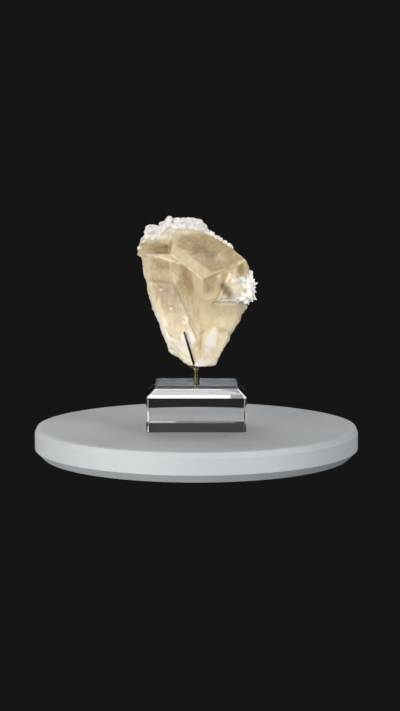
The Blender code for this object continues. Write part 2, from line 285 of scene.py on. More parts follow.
# Growth steps on faces: (face, direction the steps climb in, distance between steps, height of a step)
GROWTH_STEPS = (
    ("main.roof", (0.45, 0.5, 0.6), 9.0, 0.06),
    ("main.roof_band", (0.7, 0.3, -0.3), 7.0, 0.04),
    ("main.right_front", (0.3, 0.2, -1.0), 11.0, 0.10),
    ("main.left_front", (0.5, -0.2, -0.9), 12.0, 0.06),
    ("main.left_wedge", (0.5, -0.2, -0.9), 9.0, 0.06),
    ("main.right_side", (0, 0.7, 0.7), 8.0, 0.14),
    ("main.right_edge", (0, 0.7, 0.7), 6.0, 0.16),
    ("main.back", (0.4, 0, 1.0), 8.0, 0.2),
    ("main.back_low", (-0.5, 0, 1.0), 9.0, 0.18),
    ("main.back_left", (0.2, 0, 1.0), 9.0, 0.16),
    ("main.eave", (0.6, 0.6, 0), 7.0, 0.12),
    ("main.crown", (0.9, 0.4, 0.2), 7.0, 0.16),
    ("left.front", (0.9, 0.3, 0.25), 8.0, 0.06),
    ("left.left_band", (0.1, 0.1, 1.0), 9.0, 0.12),
    ("left.left_side", (0.1, 0.5, 1.0), 9.0, 0.12),
    ("left.back", (0.5, 0, 1.0), 9.0, 0.16),
    ("left_foot.front", (0.9, 0.3, -0.3), 9.0, 0.14),
    ("left_foot.back", (0.5, 0, 1.0), 9.0, 0.16),
    ("upper_left.front", (0.05, 0.3, 1.0), 2.6, 0.22),
    ("upper_left.back", (0.2, 0, 1.0), 7.0, 0.16),
)

# How pale (above 0) or how deep a honey (below 0) a face looks, some of it painted shade and painted
# reflection
FACE_TONES = {
    # painted shade: the roof, which faces the light, is made a deeper honey
    "main.roof": -0.34,
    "main.roof_band": 0.04,
    "main.right_front": -0.12,
    # painted reflection: the left wedge is darkened as the dark surroundings seen in it
    "main.left_wedge": -0.26,
    "main.left_front": 0.12,
    "main.left_flank": -0.28,
    "main.right_side": 0.1,
    "main.right_edge": 0.2,
    "left.front": -0.2,
    # painted shade: the ledge is darkened against the light it catches
    "left.ledge": -0.38,
    "left.left_band": 0.05,
    "left.left_side": 0.2,
    # painted shade: the right walls here and on the lower left crystal are darkened though a lamp lights them
    "left.right_wall": -0.9,
    "left_foot.front": -0.5,
    "left_foot.left_band": 0.1,
    "left_foot.toe_front": 0.25,
    "left_foot.right_wall": -0.9,
    "upper_left.front": -0.32,
    "left_lump.front": 0.0,
    "saddle_lump.front": 0.1,
    "right_bed.front": 0.05,
    "right_bed.left": -0.1,
    "right_bed.right": -0.1,
}

# Crystals that the crust grew over, roughened as lumps
LUMPY = ("crown_lump", "left_lump", "saddle_lump", "right_lump", "right_bed", "upper_left")

# Lumps that are as white as the crust on them, and how pale they look
CRUSTED = ("crown_lump", "left_lump", "saddle_lump", "right_lump")
CRUSTED_TONE = 0.9

# Crystals whose faces stay bare
BARE = ("main", "left", "left_foot", "upper_left")

# Outer faces that grew knobbly
KNOBBLY = (
    "left.left_side", "left.left_waist", "left.left_heel", "left_foot.left_side", "left_foot.left_waist",
    "left_foot.left_heel", "main.right_under", "main.toe_right", "upper_left.left_side",
)

# Raised plates: (middle, face, turn in degrees, half length, half width, height)
PLATES = (
    ((22, -26, 120), "main.right_front", 12, 9, 14, 0.5),
    ((28, -20, 100), "main.right_front", -20, 8, 7, 0.6),
    ((2, -32, 120), "main.left_front", 5, 4, 15, 0.4),
    ((20, 38, 140), "main.back", 30, 14, 9, 0.9),
    ((-6, 37, 150), "main.back", -15, 10, 12, 0.8),
    ((30, 35, 170), "main.back", 10, 9, 6, 0.7),
    ((12, 28, 100), "main.back_low", 25, 12, 8, 0.8),
    ((50, 8, 150), "main.right_edge", 15, 8, 10, 0.6),
    ((-50, 8, 150), "left.left_side", 15, 7, 10, 0.6),
)
# How far a plate leans to one side, how far its ends wander, and how wide its slanting rim is
PLATE_SKEW = 0.28
PLATE_WANDER = 0.8
PLATE_RIM = 1.2

# Small pits all over: how many, smallest and largest radius, depth as a share of the radius
PIT_COUNT = 130
PIT_RADII = (0.9, 2.6)
PIT_DEPTH = 0.28

# The crystal swells towards the bed of the right cluster, and the bed dies away into it at its foot: how far,
# and the heights and the X between which it does so
BED_RISE = 2.2
BED_RISE_Z = (112.0, 125.0)
BED_RISE_X = (18.0, 26.0)
BED_SINK = 4.2
BED_SINK_Z = (137.0, 127.0)

# Panes and seams are on what turns to the viewer by this much and lies in front of this depth
FRONT_TURN = -0.05
FRONT_DEPTH = 15.0
# The mean strength of the clouds in panes, and how far a seam reaches past its half width
PANE_CLOUD = 0.9
SEAM_CORE = 0.25

# Flat panes in the front of the crystals, as calcite shows where it begins to split, and some painted light:
# softness of the rim, how milky (above 0) or how deep a honey (below 0), and corners as (X, Z)
PANES = {
    "pale_wedge": (2.2, 0.16, (-7.7, 163.7), (6.0, 151.9), (3.9, 130.9), (-0.3, 138.8)),
    # painted reflection: the dark surroundings seen through the wedge, as a deeper honey
    "dark_wedge_painted_reflection": (3.0, -0.2, (-13.3, 165.4), (-8.2, 162.2), (-2.3, 143.7), (-10.4, 126.6), (-18.4, 145.6)),
    "prong_white": (1.6, 1.4, (-15.5, 96.5), (-9.4, 97.9), (-4.4, 95.0), (-1.3, 89.0), (-6.4, 80.2),
        (-13.6, 78.4)),
    "left_white": (3.0, 0.28, (-33.9, 111.2), (-29.8, 110.3), (-26.8, 89.8), (-30.0, 86.2), (-33.5, 99.6)),
    "right_white": (3.0, 1.3, (17.9, 101.0), (21.4, 97.7), (17.4, 81.9), (11.9, 76.9), (9.3, 85.1)),
    "small_white": (1.2, 1.4, (-11.9, 114.1), (-9.9, 113.2), (-8.4, 107.1), (-10.4, 106.0)),
    "tan_facet": (3.0, -0.05, (-0.3, 89.1), (7.8, 92.1), (8.8, 78.2), (6.8, 69.8), (-2.4, 69.3),
        (-4.4, 80.3)),
    "foot_rim": (2.0, 2.4, (-0.3, 67.7), (7.8, 67.0), (13.9, 63.9), (12.9, 61.8), (1.7, 62.3)),
    "bed_whole": (2.6, 0.3, (34.7, 162.2), (39.7, 160.5), (47.9, 149.0), (51.9, 125.0), (23.3, 127.0),
        (24.7, 140.6), (29.7, 151.7)),
    "bed_top": (2.4, 0.25, (34.2, 159.6), (38.2, 159.5), (40.8, 149.4), (34.7, 146.7), (32.6, 153.9)),
    "bed_right": (2.4, 0.4, (35.8, 136.4), (46.9, 139.1), (50.8, 125.2), (35.0, 126.4)),
    "bed_left": (1.8, 0.4, (23.4, 133.6), (29.7, 134.6), (29.9, 126.7), (23.3, 127.0)),
    # painted highlight: a small glint as a bright pale spot
    "painted_glint": (1.2, 2.0, (22.3, 156.5), (24.0, 156.4), (24.2, 152.3), (23.0, 152.4)),
    "corner_honey": (6.0, -0.22, (40.2, 161.5), (46.3, 165.4), (47.4, 152.9), (43.8, 151.3)),
    "right_edge": (3.0, 0.2, (47.8, 167.4), (50.9, 167.1), (52.1, 151.6), (48.9, 149.0)),
    "roof_light": (9.0, -0.02, (-23.4, 177.9), (-16.4, 186.6), (-8.3, 178.0), (5.7, 162.9), (6.7, 153.4),
        (-12.3, 167.5)),
    "left_edge": (5.0, 0.17, (-56.0, 173.3), (-48.2, 172.6), (-42.4, 136.6), (-49.0, 132.8)),
    "left_edge_low": (5.0, 0.25, (-49.3, 134.8), (-42.4, 136.6), (-25.8, 88.5), (-33.0, 84.0)),
    "left_root": (7.0, 0.4, (-51.2, 192.0), (-37.1, 199.1), (-30.0, 201.1), (-28.9, 193.0), (-41.0, 187.0),
        (-51.0, 185.1)),
    "crown_root": (8.0, 0.35, (-24.0, 202.0), (2.3, 200.2), (6.3, 196.1), (-18.9, 195.0)),
    "left_low_pale": (18.0, 0.15, (-42.0, 112.0), (-14.0, 112.0), (-8.0, 96.0), (-14.0, 80.0),
        (-30.0, 80.0)),
    "wedge_low_pale": (9.0, 0.05, (-12.0, 116.0), (2.0, 116.0), (4.0, 92.0), (-6.0, 92.0)),
    "notch_veil": (5.0, 0.2, (-27.0, 206.0), (-12.0, 206.0), (-9.0, 197.0), (-16.0, 187.0), (-25.0, 180.0),
        (-27.5, 192.0)),
    "recess": (5.0, -0.3, (-43.9, 182.1), (-29.7, 183.2), (-28.0, 176.7), (-43.6, 175.6)),
}
# Seams in the front of the crystals, some of them painted highlight, painted light and painted shade: half
# width, height of the ridge, tone, darkness, and route as (X, Z)
SEAMS = {
    "crack": (1.6, -0.1, 0.0, 0.6, (-22.3, 143.0), (-19.5, 138.0), (-15.4, 130.0), (-12.4, 123.3)),
    "crack_below": (1.5, -0.1, 0.0, 0.35, (-12.4, 123.3), (-9.4, 116.3), (-6.4, 109.3), (-4.3, 103.3),
        (-2.3, 98.3)),
    # painted highlight: the pale streak of the ridge stands in for light caught above the crack
    "ridge": (1.0, 0.1, 0.7, 0.0, (-23.2, 155.5), (-22.3, 150.0), (-21.6, 144.6)),
    # painted highlight: a pale line along the ledge's edge, where it catches light, on a low real ridge
    "ledge_painted_highlight": (1.3, 0.1, 0.15, 0.0, (-53.9, 174.2), (-46.6, 175.2), (-38.5, 173.9), (-31.4, 173.6),
        (-25.9, 174.4)),
    # painted shade: the roof's edge and the front corner are darkened to damp the highlights on their rounded
    # edges
    "roof_edge_painted_shade": (1.6, 0.0, -0.15, 0.16, (-24.4, 176.5), (-13.3, 167.5), (6.7, 153.0)),
    "corner_edge_painted_shade": (1.3, 0.0, -0.15, 0.16, (6.7, 152.5), (5.4, 141.0), (4.2, 131.0)),
    "under_roof": (1.4, -0.2, 0.0, 0.4, (7.2, 150.9), (23.6, 159.0), (40.7, 167.1)),
    "curved_ledge": (1.4, -0.5, 0.0, 0.5, (20.9, 98.7), (26.0, 99.0), (32.2, 97.0), (35.8, 90.0)),
    "low_crack": (1.2, -0.35, 0.0, 0.45, (-8.4, 107.1), (-4.4, 99.1), (-1.3, 92.1), (3.7, 95.5),
        (8.8, 98.4)),
    "foot_line": (1.2, -0.4, 0.0, 0.4, (-27.0, 79.6), (-20.8, 74.4), (-13.7, 65.8)),
    "foot_line_above": (1.2, -0.3, 0.0, 0.3, (-25.8, 85.4), (-18.7, 76.9), (-10.6, 69.6)),
    "corner_line": (1.2, -0.2, 0.0, 0.5, (4.2, 130.9), (4.0, 122.7), (2.7, 115.4)),
    "dark_spot": (4.5, -0.5, -0.2, 0.75, (27.0, 145.0), (29.7, 141.0), (34.0, 135.5)),
    "notch": (1.5, -0.2, 0.0, 0.3, (-26.3, 187.0), (-26.1, 182.0), (-26.4, 176.8)),
    "wedge_line": (1.0, -0.1, 0.0, 0.22, (-8.3, 129.9), (-7.4, 104.1)),
    "wedge_line_middle": (1.0, -0.1, 0.0, 0.2, (-3.3, 135.4), (-1.8, 99.3)),
    "wedge_line_right": (1.0, -0.1, 0.0, 0.25, (0.7, 125.5), (1.7, 103.9)),
    "recess_line_top": (1.0, -0.15, 0.0, 0.3, (-40.9, 184.2), (-29.7, 185.3)),
    "recess_line_middle": (1.0, -0.15, 0.0, 0.3, (-43.9, 181.1), (-28.6, 182.3)),
    "recess_line": (1.0, -0.15, 0.0, 0.35, (-42.8, 177.9), (-28.6, 179.0)),
    "low_bend": (1.1, -0.3, 0.0, 0.3, (8.8, 83.5), (14.0, 78.5), (19.0, 75.4)),
    "crackle_left": (1.0, -0.3, -0.1, 0.3, (-7.0, 113.0), (-3.5, 105.0), (1.5, 98.5), (6.0, 96.0)),
    "crackle_across": (1.0, -0.25, -0.1, 0.25, (-5.5, 108.5), (1.0, 107.0), (6.5, 103.0), (12.5, 102.0)),
    "crackle_right": (1.0, -0.3, -0.1, 0.3, (3.5, 112.0), (5.5, 103.0), (2.5, 95.0), (6.0, 87.0)),
    "crackle_low": (1.0, -0.25, -0.1, 0.3, (-1.0, 92.0), (3.0, 88.0), (2.0, 81.0)),
    # painted light: the shadowed lower edge of the bed is paled, with a little painted shade to damp a blue
    # highlight there
    "bed_foot_painted_light": (3.4, 0.0, 0.3, 0.16, (22.5, 126.6), (50.5, 124.6)),
}

# Lumps that the crust is built up from, as (X, Y, Z, radius), for each piece of crust
CRUST_LUMPS = {
    "crust_left_top": (
        (-56.6, 8, 181.2, 3.4), (-54.2, 9, 186.5, 2.8), (-49.4, 10, 193.6, 3.9), (-47.6, 10, 198.7, 5.0),
        (-43.2, 11, 200.2, 5.2), (-38.6, 12, 198.6, 5.0), (-33.6, 12, 200.8, 5.0), (-28.4, 11, 204.6, 4.6),
        (-27.8, 10, 209.4, 4.2), (-24.0, 12, 203.6, 4.0), (-50, 12, 189.5, 5.0), (-45, 12.5, 192, 6.0),
        (-39.5, 12.5, 194, 6.2), (-34, 13, 197, 5.8), (-29.5, 12.5, 200, 5.2),
    ),
    "crust_crown": (
        (-21.8, 12, 206.8, 3.6), (-18.4, 10, 207.6, 4.4), (-13.2, 10, 207.9, 4.6), (-8.2, 10, 207.1, 4.9),
        (-3.0, 10, 206.5, 5.2), (1.6, 10, 206.1, 5.2), (4.6, 10, 202.4, 4.4), (6.4, 7, 199.4, 3.4),
        (7.6, 10, 203.4, 3.0), (8.8, 9, 199.0, 2.4), (-21.5, 10, 202.5, 5.6), (-17, 9.5, 202.5, 6.2),
        (-11.5, 9, 202, 6.4), (-6, 9, 201.6, 6.4), (-0.5, 9, 201, 6.2), (4, 8, 199.8, 5.0),
    ),
    "crust_eave": (
        (8.4, 6, 197.6, 3.0), (11.2, 4, 195.8, 3.2), (15.4, 1.5, 195, 3.4), (19.9, -1, 191.6, 2.8),
        (24.5, -3.6, 189.2, 2.9), (29, -6.1, 187.2, 3.0), (33.2, -8.6, 184.4, 2.7), (36, -10, 181.6, 2.0),
    ),
    "crust_right": (
        (52, -8, 149, 3.0), (53.5, -7, 144, 3.8), (54, -6, 139, 4.2), (53, -6, 133, 4.0), (51, -8, 130, 3.0),
        (50, -11, 142, 3.6), (50, -11, 136, 3.6), (53, 2, 142, 4.6), (53, 3, 134, 4.2),
        (51, -14, 148.5, 4.2), (52.4, -14.5, 142, 5.2), (52.4, -14.5, 135, 5.0), (50, -13, 129, 3.8),
        (47.6, -17, 144, 3.4), (47.4, -17, 137.5, 3.6), (46.5, -16.5, 149, 4.0), (46, -17.5, 143.5, 4.8),
        (46, -17.5, 137, 4.8), (46, -16.5, 131, 4.2), (54.6, -5, 150, 3.4), (55, -2, 144.5, 3.9),
        (55.2, -3, 137.5, 4.1), (54.8, -4, 131, 3.6), (55, 5, 148, 3.6), (55.2, 5, 141, 4.1),
        (55, 4, 134, 3.9), (54, 10, 151, 3.4), (54.6, 11, 144, 3.8), (54.6, 10, 137, 3.8), (54, 9, 130, 3.4),
        (51, 14, 147, 3.2), (51, 14, 139, 3.2), (51, 0, 153, 3.6), (50, 7, 153.5, 3.2), (52, 3, 128, 3.2),
    ),
    "crust_foot": (
        (-0.4, -3.6, 62.6, 1.7), (2.6, -4.2, 62.0, 2.0), (6.0, -3.6, 62.4, 1.8), (9.2, -2.6, 61.9, 2.1),
        (12.6, -1.2, 62.6, 1.7), (15.2, 0.6, 63.4, 1.4),
    ),
}
# Rows of lumps one behind the other: (how far back, how much lower, growth)
LUMP_ROWS = ((0, 0, 1.0), (6.5, -0.6, 1.08), (13, -2.6, 1.0))
ONE_ROW = ("crust_right", "crust_foot")
# How a lump strays and grows behind the first row, its round heart, and the knots that stand out of it
LUMP_STRAY = 2.4
LUMP_SIZES = (0.86, 1.1)
LUMP_HEART = 0.86
LUMP_REACH = 1.04
KNOT_COUNT = 7
KNOT_SIZES = (0.36, 0.52)
KNOT_LIMIT = 4.6
KNOT_CUBE = 1.7
# Cells of the lumps' skin, how often it is rubbed smooth, and how its points are shaken by noise
LUMP_CELL = 0.75
LUMP_RUBS = 4
LUMP_NOISE = 0.4
LUMP_NOISE_SIZE = 3.6
LUMP_NOISE_SHIFTS = (4.0, 9.0, 14.0)

# Small crystals on the lumps: how many, lean of the rhomb's edges, smallest and largest edge
CRUST_GROWTH = {
    "crust_left_top": (260, 60.0, 0.8, 2.0),
    "crust_crown": (260, 60.0, 0.7, 1.9),
    "crust_eave": (260, 60.0, 0.7, 1.7),
    "crust_right": (160, 45.0, 1.0, 2.6),
    "crust_foot": (120, 60.0, 0.7, 1.6),
}
# How far above a lump the places for small crystals are drawn, and how rare large ones are
GROWTH_REACH = 1.6
GROWTH_RARITY = 2.2
# How far from the crystal the crust is tinted by it
ROOT_REACH = 2.8
# Cells of the skin over each piece of crust, and how often it is rubbed smooth
SKIN = {
    "crust_left_top": (0.5, 4),
    "crust_crown": (0.5, 4),
    "crust_eave": (0.45, 3),
    "crust_right": (0.35, 2),
    "crust_foot": (0.4, 2),
    "crust_back": (0.5, 1),
    "crust_back_top": (0.5, 2),
}
SKIN_SHARP = 50.0

# Pointed crystals of the right cluster, as (X, Y, Z of the tip, length), and where they grew from
RIGHT_POINTS = (
    (52.0, -12, 156.0, 15.0), (57.2, -9, 156.4, 18.0), (59.8, -8, 150.6, 14.0), (62.9, -9, 146.6, 18.0),
    (61.4, -10, 142.0, 14.0), (61.8, -9, 136.4, 16.0), (61.8, -8, 128.4, 19.0), (57.6, -9, 126.4, 15.0),
    (53.0, -11, 123.6, 16.0), (48.4, -12, 124.4, 14.0), (58.6, -14, 149.0, 14.0), (59.0, -15, 138.6, 14.0),
    (60.6, 2, 146.0, 16.0), (60.8, 4, 137.0, 16.0), (58.4, 6, 128.0, 16.0), (57.6, 8, 152.0, 15.0),
    (60.0, -12, 132.0, 14.0), (55.6, -14, 153.0, 12.0), (56.6, -15, 129.6, 12.0), (49.0, -14, 153.4, 10.0),
)
RIGHT_ROOT = (49.0, -6.0, 141.0)
POINT_LEAN = 33.0

# Crust on the back: (middle, reach, how many, smallest and largest edge), for each piece of crust
BACK_CRUST = {
    "crust_back": (
        ((10, 34, 150), (34, 16, 34), 700, 1.2, 4.2),
        ((-38, 28, 160), (20, 14, 26), 480, 1.2, 4.2),
        ((14, 36, 160), (20, 8, 18), 24, 5.0, 7.5),
    ),
    "crust_back_top": (
        ((-5, 27, 198), (17, 9, 11), 360, 1.4, 3.8),
        ((-24, 28, 190), (16, 9, 14), 200, 1.4, 4.0),
        ((-42, 24, 190), (14, 10, 10), 120, 1.4, 3.6),
    ),
}
# How near the crystal such a rhomb has to be, how rare large ones are, and the lean of their edges
BACK_REACH = 6.0
BACK_RARITY = 1.8
BACK_LEAN = 63.7
# How deep a small crystal is sunk, as a share of its edge, and how far it tilts
CRUST_SINK = 0.2
CRUST_TILT = 30.0
CRUST_SWAY = 1.6
CRUST_SEED = 23

# A rhomb before it is skewed: its corners, and the corners of each face
RHOMB_CORNERS = ((0, 0, 0), (1, 0, 0), (1, 1, 0), (0, 1, 0), (0, 0, 1), (1, 0, 1), (1, 1, 1), (0, 1, 1))
RHOMB_FACES = ((0, 3, 2, 1), (4, 5, 6, 7), (0, 1, 5, 4), (1, 2, 6, 5), (2, 3, 7, 6), (3, 0, 4, 7))

# The prongs: the node that each one stands for, and its route along its middle, from the solder to the tip
PRONGS = {
    "front_wire": (
        "front_prong",
        ((0.1, -0.9, 56.6), (-0.9, -1.5, 59.2), (-3.2, -1.7, 65.0), (-5.7, -7.4, 74.4), (-8.6, -14.4, 85.0),
         (-12.0, -14.5, 96.5)),
    ),
    "left_wire": (
        "left_prong",
        ((-0.7, 0.3, 57.2), (-2.4, 0.8, 59.1), (-5.2, 2.8, 58.9), (-8.4, 6.8, 59.2), (-11.0, 11.0, 60.6),
         (-13.6, 17.8, 61.7), (-14.4, 20.1, 67.0), (-15.8, 22.6, 79.6)),
    ),
    "rear_wire": (
        "rear_prong",
        ((0.8, 0.6, 57.2), (2.3, 1.9, 59.1), (4.2, 6.2, 59.4), (5.2, 11.2, 60.6), (5.9, 14.4, 65.4),
         (7.4, 21.4, 78.5), (9.6, 28.6, 91.0)),
    ),
}


# Meshes


def add_object(name, data):
    """Put a mesh, a lamp or a camera into the scene as an object of the same name."""
    data.name = name
    obj = bpy.data.objects.new(name, data)
    bpy.context.scene.collection.objects.link(obj)
    return obj


def mesh_from(bm, name):
    """The mesh of a bmesh, which is then freed."""
    mesh = bpy.data.meshes.new(name)
    bm.to_mesh(mesh)
    bm.free()
    return mesh


def soften(mesh, sharp):
    """Shade a mesh smooth, but for edges sharper than an angle in degrees."""
    mesh.shade_smooth()
    mesh.set_sharp_from_angle(angle=math.radians(sharp))


def piece_from(bm, name, sharp=None):
    """An object in metres from a bmesh in millimetres. Without a sharp angle its faces stay flat."""
    bmesh.ops.scale(bm, vec=(MM, MM, MM), verts=bm.verts)
    mesh = mesh_from(bm, name)
    if sharp:
        soften(mesh, sharp)
    return add_object(name, mesh)


def reshape(mesh, points, sharp):
    """Move the points of a mesh to places given in millimetres, and soften it."""
    mesh.vertices.foreach_set("co", (points * MM).ravel())
    mesh.update()
    soften(mesh, sharp)


def point_rows(mesh, kind):
    """A row for each point of a mesh: its place, with "co", or its normal, with "normal"."""
    flat = np.empty(len(mesh.vertices) * 3)
    mesh.vertices.foreach_get(kind, flat)
    return flat.reshape(-1, 3)


def face_lists(mesh):
    """The numbers of the points of each face."""
    return [list(face.vertices) for face in mesh.polygons]


def keep_values(mesh, name, values):
    """Keep a number on each point of a mesh, for its material to read."""
    mesh.attributes.new(name, "FLOAT", "POINT").data.foreach_set("value", values.astype(np.float32))


def remade(mesh, *modifiers):
    """What modifiers make of a mesh. Each is its kind and its settings."""
    obj = add_object("unfinished", mesh)
    for kind, settings in modifiers:
        modifier = obj.modifiers.new(kind, kind)
        for setting, value in settings.items():
            setattr(modifier, setting, value)
    graph = bpy.context.evaluated_depsgraph_get()
    made = bpy.data.meshes.new_from_object(obj.evaluated_get(graph))
    bpy.data.objects.remove(obj)
    return made


def noise_at(points, size, shift):
    """Smooth noise, about -1 to 1, at each point. Size is the width of its bumps."""
    moved = (points / size + shift).tolist()
    return np.array([noise.noise(p) for p in moved])


def layered(points, layers):
    """Noise in layers, each given as its height, the width of its bumps and the shift of its noise."""
    return sum(height * noise_at(points, size, shift) for height, size, shift in layers)


def nearness(distance, reach):
    """1 at no distance, falling to 0 at the reach."""
    return np.clip(1 - distance / reach, 0, 1)


def climb(values, span):
    """0 before a span and 1 past it, in a straight line between its two ends."""
    start, end = span
    return np.clip((values - start) / (end - start), 0, 1)


def unit(way):
    """A direction of length 1."""
    return way / np.linalg.norm(way)


# The crystal group


def outward_planes(crystal):
    """The crystal's faces as (name, point, normal), every normal turned away from its middle."""
    middle = Vector(crystal["middle"])
    planes = []
    for name, face in crystal.items():
        if name != "middle":
            point, normal = face
            planes.append((name, point, -normal if (middle - point).dot(normal) > 0 else normal))
    return planes


def cut_crystal(crystal):
    """A convex crystal: a rough block cut by one plane for each flat face."""
    bm = bmesh.new()
    bmesh.ops.create_cube(bm, size=ROUGH_BLOCK, matrix=Matrix.Translation(crystal["middle"]))
    for _, point, normal in outward_planes(crystal):
        whole = bm.verts[:] + bm.edges[:] + bm.faces[:]
        cut = bmesh.ops.bisect_plane(bm, geom=whole, plane_co=point, plane_no=normal, clear_outer=True)
        rim = [part for part in cut["geom_cut"] if isinstance(part, bmesh.types.BMEdge)]
        if rim:
            bmesh.ops.contextual_create(bm, geom=rim)
    bmesh.ops.recalc_face_normals(bm, faces=bm.faces)
    return bm


def joined_crystals():
    """The mesh of all the crystals as one closed solid, in millimetres."""
    main, *others = [mesh_from(cut_crystal(crystal), name) for name, crystal in CRYSTALS.items()]
    heap = bmesh.new()
    for mesh in others:
        heap.from_mesh(mesh)
    rest = add_object("rest", mesh_from(heap, "rest"))
    union = {"operation": "UNION", "solver": "EXACT", "use_self": True, "object": rest}
    joined = remade(main, ("BOOLEAN", union))
    bpy.data.objects.remove(rest)
    return joined


def convex_edge_points(mesh):
    """Points along the crystals' outward edges, where chips and wear sit."""
    bm = bmesh.new()
    bm.from_mesh(mesh)
    points = []
    for edge in bm.edges:
        if len(edge.link_faces) == 2 and edge.calc_face_angle_signed(0) >= math.radians(EDGE_ANGLE):
            start, end = edge.verts[0].co, edge.verts[1].co
            count = max(1, int(edge.calc_length() / EDGE_SPACING))
            points += [start.lerp(end, k / count) for k in range(count + 1)]
    bm.free()
    return points


def distances(points, marks):
    """How far each point is from the nearest mark."""
    tree = KDTree(len(marks))
    for k, mark in enumerate(marks):
        tree.insert(mark, k)
    tree.balance()
    return np.array([tree.find(p)[2] for p in points.tolist()])


def face_labels(points):
    """For each point, which named face of which crystal it lies on, and the list of the names."""
    label = np.full(len(points), -1)
    names = []
    for body, crystal in CRYSTALS.items():
        face_names, face_points, normals = zip(*outward_planes(crystal))
        n = np.array(normals)
        away = points @ n.T - (np.array(face_points) * n).sum(1)
        on_face = (away.max(1) < FACE_SLACK) & (np.abs(away).min(1) < FACE_SLACK)
        label[on_face] = len(names) + np.abs(away).argmin(1)[on_face]
        names += [body + "." + name for name in face_names]
    return label, names


def step_profile(climbed):
    """A stair that rises slowly and drops fast: 0 to 1 over each unit of climb."""
    part = climbed - np.floor(climbed)
    return np.minimum(part / STEP_RISE, (1 - part) / (1 - STEP_RISE))


def blended(mesh, values, share, times):
    """Values on the points of a mesh, each drawn by a share towards the mean of its neighbours."""
    pairs = np.empty(len(mesh.edges) * 2, dtype=np.int64)
    mesh.edges.foreach_get("vertices", pairs)
    first, second = pairs.reshape(-1, 2).T
    ends, others = np.concatenate((first, second)), np.concatenate((second, first))
    count = len(values)
    neighbours = np.bincount(ends, minlength=count)[:, None]
    for _ in range(times):
        total = np.stack([np.bincount(ends, column[others], count) for column in values.T], 1)
        values = values + share * (total / neighbours - values)
    return values


def pane_share(x, z, corners, softness):
    """1 for points inside a pane with outward corners, fading to 0 over its soft rim."""
    share = np.ones(len(x))
    ring = list(zip(corners, corners[1:] + corners[:1]))
    turn = math.copysign(1, sum(a[0] * b[1] - b[0] * a[1] for a, b in ring))
    for a, b in ring:
        across = (b[0] - a[0]) * (z - a[1]) - (b[1] - a[1]) * (x - a[0])
        share = np.minimum(share, np.clip(turn * across / math.dist(a, b) / softness + 0.5, 0, 1))
    return share * share * (3 - 2 * share)


def seam_share(x, z, route, half_width):
    """1 for points on a seam, fading to 0 a little past its half width."""
    nearest = np.full(len(x), np.inf)
    for a, b in zip(route, route[1:]):
        way = np.subtract(b, a)
        along = np.clip(((x - a[0]) * way[0] + (z - a[1]) * way[1]) / (way @ way), 0, 1)
        nearest = np.minimum(nearest, np.hypot(x - a[0] - along * way[0], z - a[1] - along * way[1]))
    return np.clip(1 + SEAM_CORE - nearest / half_width, 0, 1)


